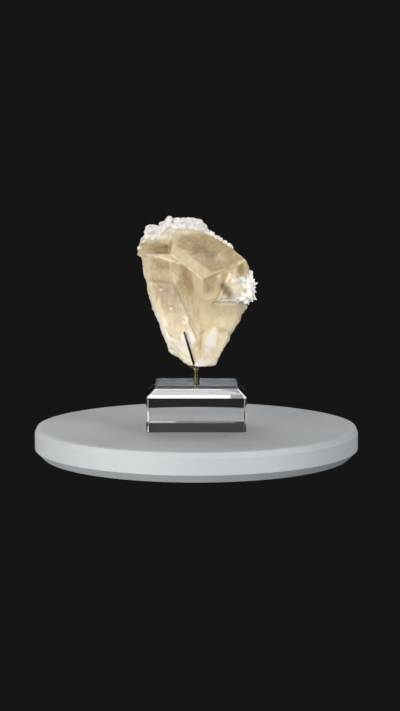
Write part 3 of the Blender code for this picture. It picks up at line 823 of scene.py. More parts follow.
class CrystalSkin:
    """The points of the crystal group in millimetres, with how far each one is lifted off its face, how pale
    it looks, and how dark the seams in it are."""

    def __init__(self, mesh, edges):
        points = point_rows(mesh, "co")
        self.mesh = mesh
        self.normals = point_rows(mesh, "normal")
        self.label, self.names = face_labels(points)
        self.to_edge = distances(points, edges)
        rub = RUB_SHARE * np.clip(RUB_REACH - self.to_edge, 0, 1)[:, None]
        self.points = blended(mesh, points, rub, EDGE_RUBS)
        self.lift = layered(self.points, FACE_SWELL)
        self.warp = layered(self.points, WARP)
        self.tones = np.zeros(len(points))
        self.shades = np.zeros(len(points))

    def on(self, *parts):
        """Which points lie on the named faces, or on any face of the named crystals."""
        wanted = [k for k, name in enumerate(self.names) if name in parts or name.split(".")[0] in parts]
        return np.isin(self.label, wanted)

    def grow_steps(self):
        """Growth steps across the faces."""
        for face, way, spacing, height in GROWTH_STEPS:
            here = self.on(face)
            climbed = self.points[here] @ np.array(Vector(way).normalized()) / spacing
            self.lift[here] += height * (step_profile(climbed + STEP_WANDER * self.warp[here]) - 0.5)

    def roughen(self, parts, layers):
        """Lumps on the named faces or crystals."""
        here = self.on(*parts)
        self.lift[here] += layered(self.points[here], layers)

    def join_bed(self):
        """Lead the bed of the right cluster into the crystal under it."""
        under = self.on("main.right_front")
        x, z = self.points[under, 0], self.points[under, 2]
        self.lift[under] += BED_RISE * climb(z, BED_RISE_Z) * climb(x, BED_RISE_X) * (z < BED_SINK_Z[1])
        bed = self.on("right_bed.front")
        self.lift[bed] -= BED_SINK * climb(self.points[bed, 2], BED_SINK_Z)

    def raise_plates(self):
        """Low plates with slanting ends on the faces."""
        for middle, face, turn, half_length, half_width, height in PLATES:
            here = self.on(face)
            outward = unit(self.normals[here].mean(0))
            level = unit(np.cross((0, 0, 1), outward))
            up = np.cross(outward, level)
            cos, sin = math.cos(math.radians(turn)), math.sin(math.radians(turn))
            offset = self.points[here] - np.array(middle)
            across = offset @ (cos * up - sin * level)
            along = offset @ (cos * level + sin * up) + PLATE_SKEW * across + PLATE_WANDER * self.warp[here]
            lengthwise = np.clip((half_length - np.abs(along)) / PLATE_RIM, 0, 1)
            crosswise = np.clip((half_width - np.abs(across)) / PLATE_RIM, 0, 1)
            self.lift[here] += height * lengthwise * crosswise

    def sink_pits(self):
        """Small pits all over."""
        rng = random.Random(CRUST_SEED)
        for _ in range(PIT_COUNT):
            middle = self.points[rng.randrange(len(self.points))]
            radius = rng.uniform(*PIT_RADII)
            distance = np.linalg.norm(self.points - middle, axis=1) / radius
            self.lift -= PIT_DEPTH * radius * np.clip(1 - distance, 0, 1)

    def tone_faces(self):
        """Paler and deeper faces, some of them painted shade and painted reflection."""
        self.tones[self.on(*CRUSTED)] = CRUSTED_TONE
        for face, tone in FACE_TONES.items():
            self.tones[self.on(face)] = tone

    def mark_front(self):
        """Panes and seams in what faces the viewer, some of them painted light, shade and reflection."""
        front = np.flatnonzero((self.normals[:, 1] < FRONT_TURN) & (self.points[:, 1] < FRONT_DEPTH))
        seen = self.points[front]
        x = seen[:, 0] + layered(seen, PANE_WANDER_X)
        z = seen[:, 2] + layered(seen, PANE_WANDER_Z)
        cloudy = PANE_CLOUD + layered(seen, PANE_CLOUDS)
        for softness, tone, *corners in PANES.values():
            self.tones[front] += tone * cloudy * pane_share(x, z, corners, softness)
        for half_width, height, tone, shade, *route in SEAMS.values():
            share = seam_share(x, z, route, half_width)
            self.lift[front] += height * share
            self.tones[front] += tone * share
            self.shades[front] = np.maximum(self.shades[front], shade * share)

    def chip_edges(self):
        """Chips along the outward edges."""
        chips = np.clip(layered(self.points, CHIPS) - CHIP_SPARING, 0, 1)
        self.lift -= CHIP_DEPTH * chips * nearness(self.to_edge, CHIP_REACH) ** 2

    def worked(self):
        """The points where their lift puts them."""
        return self.points + self.normals * self.lift[:, None]

    def piece(self):
        """The crystal group as an object."""
        reshape(self.mesh, self.worked(), BODY_SHARP)
        soft = blended(self.mesh, np.stack((self.tones, self.shades), 1), RUB_SHARE, TONE_RUBS)
        keep_values(self.mesh, "edge_nearness", nearness(self.to_edge, WEAR_REACH))
        keep_values(self.mesh, "face_tone", soft[:, 0])
        keep_values(self.mesh, "seam_shade", soft[:, 1])
        return add_object("calcite_body", self.mesh)


def crystal_skin():
    """The skin of the crystal group, with all that grew on it and wore it."""
    joined = joined_crystals()
    edges = convex_edge_points(joined)
    skin = CrystalSkin(remade(joined, ("REMESH", EVEN_CELLS)), edges)
    skin.grow_steps()
    skin.roughen(LUMPY, LUMPINESS)
    skin.join_bed()
    skin.raise_plates()
    skin.sink_pits()
    skin.roughen(KNOBBLY, KNOBS)
    skin.tone_faces()
    skin.mark_front()
    skin.chip_edges()
    return skin


# The crust


def random_offset(rng):
    """A random point in a ball of radius 1."""
    offset = Vector((1, 1, 1))
    while offset.length > 1:
        offset = Vector((rng.uniform(-1, 1), rng.uniform(-1, 1), rng.uniform(-1, 1)))
    return offset


def random_way(rng):
    """A random direction."""
    return Vector((rng.gauss(0, 1), rng.gauss(0, 1), rng.gauss(0, 1))).normalized()


def rhomb_points(middle, edge, lean, axis, spin):
    """The eight corners of a calcite rhomb whose long axis points along the given direction."""
    tilt = math.radians(lean)
    across, along = math.sin(tilt), math.cos(tilt)
    turns = [spin + math.tau * third / 3 for third in range(3)]
    skew = [(across * math.cos(turn), across * math.sin(turn), along) for turn in turns]
    upright = np.array(Vector((0, 0, 1)).rotation_difference(axis).to_matrix())
    return (np.array(RHOMB_CORNERS) - 0.5) @ (np.array(skew) * edge) @ upright.T + np.array(middle)


def add_rhomb(points, faces, corners):
    """Add a rhomb's corners and faces to lists, if it lies within the solids' size."""
    low, high = np.array(CAD_LOW) / MM, np.array(CAD_HIGH) / MM
    if (corners.min(0) < low).any() or (corners.max(0) > high).any():
        return
    start = len(points)
    points.extend(corners.tolist())
    faces.extend([[start + k for k in face] for face in RHOMB_FACES])


def small_crystal(surface, normal, edges, rarity, lean, rng):
    """The corners of a small crystal that stands on a surface, more or less aslant. Large ones are rare."""
    smallest, largest = edges
    edge = smallest + (largest - smallest) * rng.random() ** rarity
    sway = random_way(rng) * math.tan(math.radians(CRUST_TILT)) * rng.random() * CRUST_SWAY
    axis = (normal + sway).normalized()
    return rhomb_points(surface - normal * edge * CRUST_SINK, edge, lean, axis, rng.uniform(0, math.tau))


def one_skin(mesh, cell, rubs):
    """One closed skin around a heap of solids, rubbed smooth."""
    return remade(
        mesh,
        ("REMESH", {"mode": "VOXEL", "voxel_size": cell}),
        ("SMOOTH", {"factor": 0.5, "iterations": rubs}),
    )


def lumps(name, rows, rng):
    """A lumpy mass, as points and faces in millimetres, grown from knots of rounded and angular lumps."""
    bm = bmesh.new()
    for back, lower, row_growth in rows:
        for *middle, radius in CRUST_LUMPS[name]:
            stray = random_offset(rng) * min(back, LUMP_STRAY)
            centre = Vector(middle) + Vector((stray.x, back + stray.y, lower + min(0, stray.z)))
            growth = row_growth * (rng.uniform(*LUMP_SIZES) if back else 1.0)
            heart = Matrix.Translation(centre)
            bmesh.ops.create_icosphere(bm, subdivisions=2, radius=radius * growth * LUMP_HEART, matrix=heart)
            for _ in range(KNOT_COUNT):
                size = min(radius, KNOT_LIMIT) * growth * rng.uniform(*KNOT_SIZES)
                knot = Matrix.Translation(centre + random_way(rng) * (radius * growth * LUMP_REACH - size))
                turn = Matrix.Rotation(rng.uniform(0, math.tau), 4, random_way(rng))
                if rng.random() < 0.5:
                    bmesh.ops.create_icosphere(bm, subdivisions=2, radius=size, matrix=knot)
                else:
                    bmesh.ops.create_cube(bm, size=size * KNOT_CUBE, matrix=knot @ turn)
    mass = one_skin(mesh_from(bm, name), LUMP_CELL, LUMP_RUBS)
    points = point_rows(mass, "co")
    shake = [noise_at(points, LUMP_NOISE_SIZE, shift) for shift in LUMP_NOISE_SHIFTS]
    return (points + LUMP_NOISE * np.stack(shake, 1)).tolist(), face_lists(mass)


def grown_crust(name, points, faces, bare_tree):
    """A piece of crust: one skin over all that grew together, which keeps how near it is to the crystal."""
    heap = bpy.data.meshes.new(name)
    heap.from_pydata(points, [], faces)
    mesh = one_skin(heap, *SKIN[name])
    points = point_rows(mesh, "co")
    away = np.array([bare_tree.find_nearest(p)[3] for p in points.tolist()])
    reshape(mesh, points, SKIN_SHARP)
    keep_values(mesh, "root_nearness", nearness(away, ROOT_REACH))
    return add_object(name, mesh)


def pointed_crystals(points, faces, rng):
    """Add the pointed crystals of the right cluster to lists of points and faces."""
    for *tip, length in RIGHT_POINTS:
        axis = (Vector(tip) - Vector(RIGHT_ROOT)).normalized()
        edge = length / (3 * math.cos(math.radians(POINT_LEAN)))
        middle = Vector(tip) - axis * length / 2
        add_rhomb(points, faces, rhomb_points(middle, edge, POINT_LEAN, axis, rng.uniform(0, math.tau)))


def crust(name, rows, bare_tree, rng):
    """One piece of crust: a lumpy mass with small crystals all over it."""
    points, faces = lumps(name, rows, rng)
    tree = BVHTree.FromPolygons(points, faces)
    spots = CRUST_LUMPS[name]
    count, lean, *edges = CRUST_GROWTH[name]
    for _ in range(count):
        *middle, radius = spots[rng.randrange(len(spots))]
        back, lower, _ = rows[rng.randrange(len(rows))]
        above = Vector(middle) + Vector((0, back, lower)) + random_way(rng) * radius * GROWTH_REACH
        surface, normal, *_ = tree.find_nearest(above)
        add_rhomb(points, faces, small_crystal(surface, normal, edges, GROWTH_RARITY, lean, rng))
    if name == "crust_right":
        pointed_crystals(points, faces, rng)
    return grown_crust(name, points, faces, bare_tree)


def back_crust(name, body_tree, rng):
    """A crust of small rhombs over the back of the crystal group."""
    points, faces = [], []
    for middle, reach, count, *edges in BACK_CRUST[name]:
        for _ in range(count):
            spot = Vector(middle) + random_offset(rng) * Vector(reach)
            surface, normal, _, distance = body_tree.find_nearest(spot)
            corners = small_crystal(surface, normal, edges, BACK_RARITY, BACK_LEAN, rng)
            if distance < BACK_REACH:
                add_rhomb(points, faces, corners)
    return grown_crust(name, points, faces, body_tree)


# Block, post and wire


def square_ring(bm, half, height):
    """Eight points of a square with clipped corners."""
    ring = []
    for x, y in ((1, -1), (1, 1), (-1, 1), (-1, -1)):
        along, across = (half, half - BLOCK_CORNER), (half - BLOCK_CORNER, half)
        for a, b in (along, across) if x * y > 0 else (across, along):
            ring.append(bm.verts.new((x * a, y * b, height)))
    return ring


def rough_ring(bm, centre, side, other, radius, sides, grain, unevenness):
    """A ring of points round a centre, in the plane of two directions. Its reach wavers with the noise on a
    circle in the grain, given as (radius, height)."""
    swirl, rise = grain
    ring = []
    for k in range(sides):
        angle = math.tau * k / sides
        cos, sin = math.cos(angle), math.sin(angle)
        reach = radius * (1 + unevenness * noise.noise(Vector((cos * swirl, sin * swirl, rise))))
        ring.append(bm.verts.new(centre + (side * cos + other * sin) * reach))
    return ring


def close_rings(bm, rings):
    """Close a stack of rings of points into a solid."""
    for low, high in zip(rings, rings[1:]):
        for k in range(len(low)):
            bm.faces.new((low[k - 1], low[k], high[k], high[k - 1]))
    bm.faces.new(reversed(rings[0]))
    bm.faces.new(rings[-1])
    bmesh.ops.recalc_face_normals(bm, faces=bm.faces)


def polished_block():
    """The clear block with its edges broken by polishing."""
    half = BLOCK_SIDE / 2
    bm = bmesh.new()
    outline = (
        (half - BLOCK_CORNER, 0),
        (half, BLOCK_CORNER),
        (half, BLOCK_HEIGHT - BLOCK_BEVEL),
        (half - BLOCK_BEVEL, BLOCK_HEIGHT),
    )
    close_rings(bm, [square_ring(bm, reach, height) for reach, height in outline])
    polish = {"offset": BLOCK_POLISH, "offset_type": "OFFSET", "segments": 2, "profile": 0.5}
    bmesh.ops.bevel(bm, geom=bm.edges[:], affect="EDGES", clamp_overlap=True, **polish)
    return piece_from(bm, "polished_block")


def turned(name, profile, sides, unevenness=0.0, sharp=None):
    """A round piece about Z from (radius, height) pairs, its skin more or less uneven."""
    bm = bmesh.new()
    right, away = Vector((1, 0, 0)), Vector((0, 1, 0))
    rings = []
    for radius, height in profile:
        grain = (TURNED_GRAIN, height * GRAIN_RISE)
        rings.append(rough_ring(bm, Vector((0, 0, height)), right, away, radius, sides, grain, unevenness))
    close_rings(bm, rings)
    return piece_from(bm, name, sharp)


def post():
    """The round post, a little worn, from its foot in the block to its top."""
    radius = POST_DIAMETER / 2
    low, high = POST_FOOT + POST_CHAMFER, POST_TOP - POST_CHAMFER
    shaft = [(radius, low + (high - low) * k / POST_SPANS) for k in range(POST_SPANS + 1)]
    profile = [(radius - POST_CHAMFER, POST_FOOT), *shaft, (radius - POST_CHAMFER, POST_TOP)]
    return turned("post", profile, POST_SIDES, POST_UNEVEN, TURNED_SHARP)


def solder_bead():
    """The lump of solder on the post's top that holds the roots of the prongs."""
    radius = POST_DIAMETER / 2 - SOLDER_INSET
    profile = []
    for k in range(SOLDER_ROWS):
        angle = math.pi / 2 * k / (SOLDER_ROWS - 1)
        height = POST_TOP - SOLDER_SINK + SOLDER_HEIGHT * math.sin(angle)
        profile.append((max(SOLDER_TIP, radius * math.cos(angle) ** SOLDER_FULLNESS), height))
    return turned("solder_bead", profile, SOLDER_SIDES, SOLDER_UNEVEN, TURNED_SHARP)


def smooth_route(points):
    """Points on a smooth curve through the route's own points."""
    knots = [Vector(p) for p in (points[0], *points, points[-1])]
    route = []
    for k in range(1, len(knots) - 2):
        before, start, end, after = knots[k - 1:k + 3]
        for step in range(WIRE_STEPS):
            t = step / WIRE_STEPS
            cubic = (3 * start - before - 3 * end + after) * t ** 3
            square = (2 * before - 5 * start + 4 * end - after) * t ** 2
            route.append(start + ((end - before) * t + square + cubic) / 2)
    route.append(knots[-1])
    return route


def bent_wire(name, points, shift):
    """A bent wire with file marks and a rounded tip. The shift keeps two wires from looking alike."""
    route = smooth_route(points)
    radius = WIRE_DIAMETER / 2
    tip_way = (route[-1] - route[-2]).normalized()
    stops = [(point, 1.0) for point in route]
    stops += [(route[-1] + tip_way * radius * reach, width) for reach, width in WIRE_TIP]
    bm = bmesh.new()
    side = Vector((1, 0, 0))
    rings = []
    for k, (point, width) in enumerate(stops):
        before, after = stops[max(k - 1, 0)][0], stops[min(k + 1, len(stops) - 1)][0]
        way = (after - before).normalized()
        side = (side - way * side.dot(way)).normalized()
        other = way.cross(side)
        grain = (WIRE_GRAIN, k * GRAIN_RISE + shift)
        rings.append(rough_ring(bm, point, side, other, radius * width, WIRE_SIDES, grain, WIRE_UNEVEN))
    close_rings(bm, rings)
    return piece_from(bm, name, WIRE_SHARP)


# Materials


class Nodes:
    """Adds nodes to a tree and joins them, with plain calls."""

    def __init__(self, tree):
        self.tree = tree

    def add(self, kind, **settings):
        """A new node with its settings."""
        node = self.tree.nodes.new(kind)
        for key, value in settings.items():
            setattr(node, key, value)
        return node

    def join(self, output, target):
        """Link an output to an input."""
        self.tree.links.new(output, target)

    def feed(self, target, value):
        """Link or set an input."""
        if isinstance(value, bpy.types.NodeSocket):
            self.join(value, target)
        else:
            target.default_value = value

    def fed(self, kind, *values, **settings):
        """A new node whose first inputs take the values, in their order."""
        node = self.add(kind, **settings)
        for socket, value in zip(node.inputs, values):
            self.feed(socket, value)
        return node

    def maths(self, operation, a, b=0.0, clamp=False):
        """One sum."""
        return self.fed("ShaderNodeMath", a, b, operation=operation, use_clamp=clamp).outputs[0]

    def plus(self, total, value, weight):
        """A total with a share of one more value."""
        return self.maths("ADD", total, self.maths("MULTIPLY", value, weight))

    def vectors(self, operation, *values, output="Vector"):
        """One sum with vectors."""
        return self.fed("ShaderNodeVectorMath", *values, operation=operation).outputs[output]

    def ramp(self, value, low, high, to_low=0.0, to_high=1.0):
        """A value led smoothly from one range to another."""
        steps = (value, low, high, to_low, to_high)
        return self.fed("ShaderNodeMapRange", *steps, interpolation_type="SMOOTHSTEP").outputs[0]

    def mix(self, share, first, second):
        """A mix of two colours."""
        node = self.add("ShaderNodeMix", data_type="RGBA")
        for name, value in (("Factor", share), ("A", first), ("B", second)):
            self.feed(node.inputs[name], value)
        return node.outputs["Result"]

    def mottle(self, where, scale, detail, rough=0.5):
        """Noise over a place."""
        node = self.add("ShaderNodeTexNoise")
        for name, value in (("Vector", where), ("Scale", scale), ("Detail", detail), ("Roughness", rough)):
            self.feed(node.inputs[name], value)
        return node.outputs["Fac"]

    def place(self):
        """Where on the object."""
        return self.add("ShaderNodeTexCoord").outputs["Object"]

    def kept(self, name):
        """A number kept on the points of the mesh."""
        return self.add("ShaderNodeAttribute", attribute_name=name).outputs["Fac"]

    def raised(self):
        """How far the surface stands out."""
        return self.add("ShaderNodeNewGeometry").outputs["Pointiness"]

    def bump(self, height, strength, distance):
        """A normal that shows a height."""
        node = self.add("ShaderNodeBump")
        for name, value in (("Height", height), ("Strength", strength), ("Distance", distance)):
            self.feed(node.inputs[name], value)
        return node.outputs["Normal"]

    def placed(self, group, **values):
        """The outputs of a group, placed with its own values."""
        node = self.add("ShaderNodeGroup")
        node.node_tree = group
        for name, value in values.items():
            node.inputs[name].default_value = value
        return node.outputs


def new_group(name, outputs, **inputs):
    """A shader node group that puts out numbers, with its node helper, inputs and outputs."""
    tree = bpy.data.node_groups.new(name, "ShaderNodeTree")
    for socket, value in inputs.items():
        kind = "NodeSocketVector" if isinstance(value, tuple) else "NodeSocketFloat"
        tree.interface.new_socket(name=socket, in_out="INPUT", socket_type=kind).default_value = value
    for socket in outputs:
        tree.interface.new_socket(name=socket, in_out="OUTPUT", socket_type="NodeSocketFloat")
    nodes = Nodes(tree)
    return tree, nodes, nodes.add("NodeGroupInput").outputs, nodes.add("NodeGroupOutput").inputs


def soft_patch_group():
    """A cloudy patch: 1 in its middle, fading to 0 at its reach, with a ragged rim."""
    tree, nodes, given, result = new_group(
        "soft patch", ("Mask",), Middle=(0, 0, 0), Reach=(1, 1, 1), Softness=0.5, Raggedness=0.3
    )
    where = nodes.place()
    offset = nodes.vectors("SUBTRACT", where, given["Middle"])
    distance = nodes.vectors("LENGTH", nodes.vectors("DIVIDE", offset, given["Reach"]), output="Value")
    rim = nodes.maths("SUBTRACT", nodes.mottle(where, 140.0, 3.0, 0.6), 0.5)
    ragged = nodes.plus(distance, rim, given["Raggedness"])
    inner = nodes.maths("SUBTRACT", 1.0, given["Softness"])
    nodes.join(nodes.ramp(ragged, inner, 1.0, 1.0, 0.0), result["Mask"])
    return tree


def cloud_group():
    """Clouds at two sizes, fine specks and streaks, for stone, crust, metal and floor alike."""
    tree, nodes, given, result = new_group(
        "clouds and grain",
        ("Clouds", "Wisps", "Specks", "Streaks"),
        Large=40.0, Small=200.0, Grain=1500.0, Streak=(300.0, 300.0, 30.0),
    )
    where = nodes.place()
    for size, layer, detail in (("Large", "Clouds", 3.0), ("Small", "Wisps", 5.0), ("Grain", "Specks", 2.0)):
        nodes.join(nodes.mottle(where, given[size], detail), result[layer])
    stretched = nodes.vectors("MULTIPLY", where, given["Streak"])
    nodes.join(nodes.mottle(stretched, 1.0, 4.0, 0.6), result["Streaks"])
    return tree


def cleavage_group():
    """Fine straight lines in two directions, here and there, as calcite shows where it begins to split."""
    tree, nodes, given, result = new_group(
        "cleavage lines", ("Mask",), First=(1, 0, 0), Second=(0, 0, 1), Lines=60.0, Fineness=0.9
    )
    where = nodes.place()
    sway = nodes.maths("MULTIPLY", nodes.mottle(where, 60.0, 2.0), 2.0)
    found = []
    for way, spread in (("First", 75.0), ("Second", 105.0)):
        along = nodes.vectors("DOT_PRODUCT", where, given[way], output="Value")
        wave = nodes.maths("SINE", nodes.plus(sway, nodes.maths("MULTIPLY", along, given["Lines"]), math.tau))
        shown = nodes.ramp(nodes.mottle(where, spread, 2.0, 0.6), 0.52, 0.62)
        found.append(nodes.maths("MULTIPLY", nodes.ramp(wave, given["Fineness"], 1.0), shown))
    nodes.join(nodes.maths("MAXIMUM", *found), result["Mask"])
    return tree


SOFT_PATCH = soft_patch_group()
CLEAVAGE = cleavage_group()
CLOUDS = cloud_group()


def new_material(name):
    """A material with its node helper and the inputs of its Principled shader."""
    material = bpy.data.materials.new(name)
    material.use_nodes = True
    nodes = Nodes(material.node_tree)
    return material, nodes, material.node_tree.nodes["Principled BSDF"].inputs


# Patches in the crystal, in millimetres: (middle, reach, softness, strength), milky above 0 and honey below,
# some honey partly painted shade
PATCHES = {
    "roof_cloud": ((24, -22, 172), (10, 9, 8), 0.95, 0.6),
    "roof_upper": ((-8, -4, 191), (12, 10, 10), 0.9, -0.2),
    # partly painted shade: deeper honey at the tops of faces that turn down from the light
    "shoulder_honey_and_shade": ((-34, -12, 166), (14, 10, 11), 0.9, -0.6),
    "heart_honey_and_shade": ((14, -34, 147), (11, 9, 17), 0.9, -0.55),
    "corner_honey": ((45, -22, 162), (7, 7, 9), 0.8, -0.5),
    "left_milk": ((-33, 0, 101), (7, 9, 17), 0.9, 0.3),
    "right_milk": ((13, -11, 89), (9, 12, 13), 0.8, 0.5),
    "low_right_milk": ((28, -10, 110), (11, 10, 13), 0.9, 0.5),
    "left_crust_root": ((-42, 4, 194), (14, 8, 6), 0.9, 1.2),
    "crown_root": ((-8, 3, 198), (16, 7, 5), 0.9, 0.8),
    "foot_tan": ((2, -13, 78), (7, 8, 8), 0.7, -0.15),
    "low_heart_tan": ((0, -24, 113), (8, 8, 9), 0.8, -0.25),
    "brown_cloud": ((18.8, -23, 126), (11, 8, 8), 0.9, -0.45),
    "recess_honey": ((-36, -2, 180), (12, 8, 7), 0.9, -0.4),
    "foot_milk": ((4, -4, 66), (16, 8, 6), 0.9, 0.8),
}

HONEY = (0.35, 0.24, 0.1, 1)
CREAM = (0.77, 0.68, 0.485, 1)
MILK = (0.98, 0.92, 0.80, 1)
WHITE = (0.99, 0.985, 0.97, 1)
SHADE = (0.15, 0.10, 0.045, 1)
DEEP_HONEY = (0.95, 0.87, 0.64, 1)
ACRYLIC_COOL = (0.985, 0.99, 0.995, 1)
ACRYLIC_CLEAR = (1, 1, 1, 1)
FLOOR_DARK = (0.27, 0.295, 0.32, 1)
FLOOR_LIGHT = (0.31, 0.335, 0.36, 1)

# Colours of the crust: painted shade in its hollows, on what stands out, near the crystal, and how see-through
# it is
CRUST_COLOURS_AND_HOLLOW_SHADE = {
    "white crust": ((0.57, 0.54, 0.51, 1), (0.7, 0.68, 0.665, 1), (0.6, 0.53, 0.4, 1), 0.35),
    "frosted points": ((0.7, 0.66, 0.63, 1), (0.9, 0.87, 0.85, 1), (0.82, 0.76, 0.66, 1), 0.2),
}
# Finishes of the brass: under its patina, worn bright, and roughness
BRASS_FINISHES = {
    "brass patina": ((0.009, 0.007, 0.0045, 1), (0.05, 0.04, 0.025, 1), 0.26),
    "solder": ((0.12, 0.10, 0.07, 1), (0.5, 0.44, 0.34, 1), 0.4),
}

# Dark smudges inside the crystal, some of them painted shade and painted reflection: (middle, reach, softness,
# strength)
SMUDGES_AND_PAINTED_SHADE = {
    # painted reflection: the dark surroundings seen in the roof, as a darker brown
    "roof_painted_reflection": ((3, -13, 181), (14, 15, 13), 0.98, 0.7),
    "roof_painted_reflection_tail": ((14, -20, 174), (12, 12, 8), 0.98, 0.5),
    "dark_heart": ((29, -30, 141), (5, 7, 8), 0.98, 0.75),
    "dark_heart_tail": ((33, -28, 136), (4, 7, 5), 0.98, 0.5),
    "recess_corner": ((-30, -5, 182), (5, 6, 9), 0.9, 0.35),
    # painted reflection: the top of the dark wedge
    "wedge_top": ((-10, -24, 158), (6, 6, 10), 0.95, 0.3),
    "crack_shadow": ((-21, -11, 136), (4, 6, 11), 0.95, 0.45),
    "low_line": ((3, -22, 100), (9, 6, 3), 0.9, 0.2),
    "left_cloud": ((-34, -8, 141), (15, 9, 14), 0.98, 0.32),
}

# How raggedly patches and smudges end
PATCH_RAGGED = 0.7
SMUDGE_RAGGED = 0.9

# How much each layer of the clouds and grain changes the calcite's tone
TONE_LAYERS = {"Clouds": 0.55, "Wisps": 0.42, "Streaks": 0.6, "Specks": 0.2}

# The calcite is milky below and honey above, the pale lower part partly painted light that comes down through
# the crystal: heights in metres, and the tone at each
MILKY_BELOW, HONEY_ABOVE = 0.085, 0.165
MILKY_TONE, HONEY_TONE = 0.74, 0.34


def patch_mask(nodes, middle, reach, softness, ragged):
    """The mask of a soft patch, its middle and reach given in millimetres."""
    middle, reach = (tuple(x * MM for x in values) for values in (middle, reach))
    patch = nodes.placed(SOFT_PATCH, Middle=middle, Reach=reach, Softness=softness, Raggedness=ragged)
    return patch["Mask"]


def calcite_tone(nodes, clouds, splits, worn):
    """How milky the calcite is at each place, from deep honey at about -0.35 to white at 1.8, painted light
    and shade included.
    """
    height = nodes.fed("ShaderNodeSeparateXYZ", nodes.place()).outputs["Z"]
    tone = nodes.ramp(height, MILKY_BELOW, HONEY_ABOVE, MILKY_TONE, HONEY_TONE)
    for layer, weight in TONE_LAYERS.items():
        tone = nodes.plus(tone, nodes.maths("SUBTRACT", clouds[layer], 0.5), weight)
    tone = nodes.plus(tone, splits, 0.16)
    for middle, reach, softness, strength in PATCHES.values():
        tone = nodes.plus(tone, patch_mask(nodes, middle, reach, softness, PATCH_RAGGED), strength * 0.5)
    tone = nodes.maths("ADD", tone, nodes.kept("face_tone"))
    return nodes.plus(tone, worn, 0.25)


def calcite_colour(nodes, tone, seam):
    """Honey, cream, milk and white by tone, with smudges, painted shade, painted reflection and seams over
    them.
    """
    colour = HONEY
    for low, high, next_colour in ((-0.35, 0.6, CREAM), (0.5, 1.0, MILK), (1.1, 1.8, WHITE)):
        colour = nodes.mix(nodes.ramp(tone, low, high), colour, next_colour)
    for middle, reach, softness, strength in SMUDGES_AND_PAINTED_SHADE.values():
        mask = patch_mask(nodes, middle, reach, softness, SMUDGE_RAGGED)
        colour = nodes.mix(nodes.maths("MULTIPLY", mask, strength), colour, SHADE)
    return nodes.mix(seam, colour, SHADE)


def calcite_material():
    """Honey calcite: see-through in part, honey above and milky below with the lower part partly painted
    light, and cloudy patches.
    """
    material, nodes, shader = new_material("honey calcite")
    clouds = nodes.placed(CLOUDS, Large=38.0, Small=170.0, Grain=900.0, Streak=(330.0, 330.0, 30.0))
    splits = nodes.placed(CLEAVAGE, First=(0.8, 0.1, 0.6), Second=(-0.55, 0.2, 0.81), Lines=95.0)["Mask"]
    seam = nodes.kept("seam_shade")
    edge = nodes.maths("POWER", nodes.kept("edge_nearness"), 5.0)
    worn = nodes.maths("MULTIPLY", edge, nodes.ramp(clouds["Wisps"], 0.4, 0.75))
    tone = calcite_tone(nodes, clouds, splits, worn)
    nodes.join(calcite_colour(nodes, tone, seam), shader["Base Color"])
    satin = nodes.plus(nodes.maths("MULTIPLY", clouds["Clouds"], 0.8), clouds["Specks"], 0.4)
    satin = nodes.maths("ADD", satin, nodes.maths("ADD", worn, seam))
    nodes.join(nodes.ramp(satin, 0.4, 1.2, 0.3, 0.6), shader["Roughness"])
    relief = nodes.plus(nodes.plus(clouds["Wisps"], clouds["Specks"], 0.3), splits, -0.35)
    nodes.join(nodes.bump(relief, 0.25, 0.0006), shader["Normal"])
    gloss = nodes.ramp(clouds["Clouds"], 0.3, 0.7, 0.1, 0.35)
    nodes.join(nodes.maths("MULTIPLY", gloss, nodes.ramp(seam, 0.0, 0.4, 1.0, 0.0)), shader["Coat Weight"])
    shader["Coat Roughness"].default_value = 0.25
    shader["IOR"].default_value = 1.6
    shader["Transmission Weight"].default_value = 0.5
    shader["Subsurface Weight"].default_value = 1.0
    shader["Subsurface Radius"].default_value = (1.0, 0.93, 0.8)
    shader["Subsurface Scale"].default_value = 0.008
    depth = nodes.add("ShaderNodeVolumeAbsorption")
    depth.inputs["Color"].default_value = DEEP_HONEY
    depth.inputs["Density"].default_value = 14.0
    nodes.join(depth.outputs["Volume"], material.node_tree.nodes["Material Output"].inputs["Volume"])
    return material


def crust_material(name):
    """The crust: frosted, with light spreading through it, and painted shade in its hollows."""
    dark, light, root_tint, clear = CRUST_COLOURS_AND_HOLLOW_SHADE[name]
    material, nodes, shader = new_material(name)
    clouds = nodes.placed(CLOUDS, Large=70.0, Small=420.0, Grain=2200.0)
    # painted shade: darker where the surface is hollow, lighter where it stands out
    tone = nodes.ramp(nodes.plus(nodes.raised(), clouds["Wisps"], 0.25), 0.56, 0.68)
    root = nodes.ramp(nodes.kept("root_nearness"), 0.0, 1.0, 0.0, 0.85)
    nodes.join(nodes.mix(root, nodes.mix(tone, dark, light), root_tint), shader["Base Color"])
    nodes.join(nodes.ramp(clouds["Specks"], 0.3, 0.7, 0.35, 0.6), shader["Roughness"])
    shader["IOR"].default_value = 1.5
    shader["Transmission Weight"].default_value = clear
    shader["Subsurface Weight"].default_value = 1.0
    shader["Subsurface Radius"].default_value = (1.0, 0.96, 0.92)
    shader["Subsurface Scale"].default_value = 0.005
    return material


def acrylic_material():
    """Clear acrylic with faint smears from handling."""
    material, nodes, shader = new_material("clear acrylic")
    clouds = nodes.placed(CLOUDS, Large=30.0, Small=260.0, Grain=5000.0)
    nodes.join(nodes.ramp(clouds["Wisps"], 0.45, 0.8, 0.004, 0.05), shader["Roughness"])
    nodes.join(nodes.mix(clouds["Clouds"], ACRYLIC_COOL, ACRYLIC_CLEAR), shader["Base Color"])
    shader["IOR"].default_value = 1.49
    shader["Transmission Weight"].default_value = 1.0
    return material


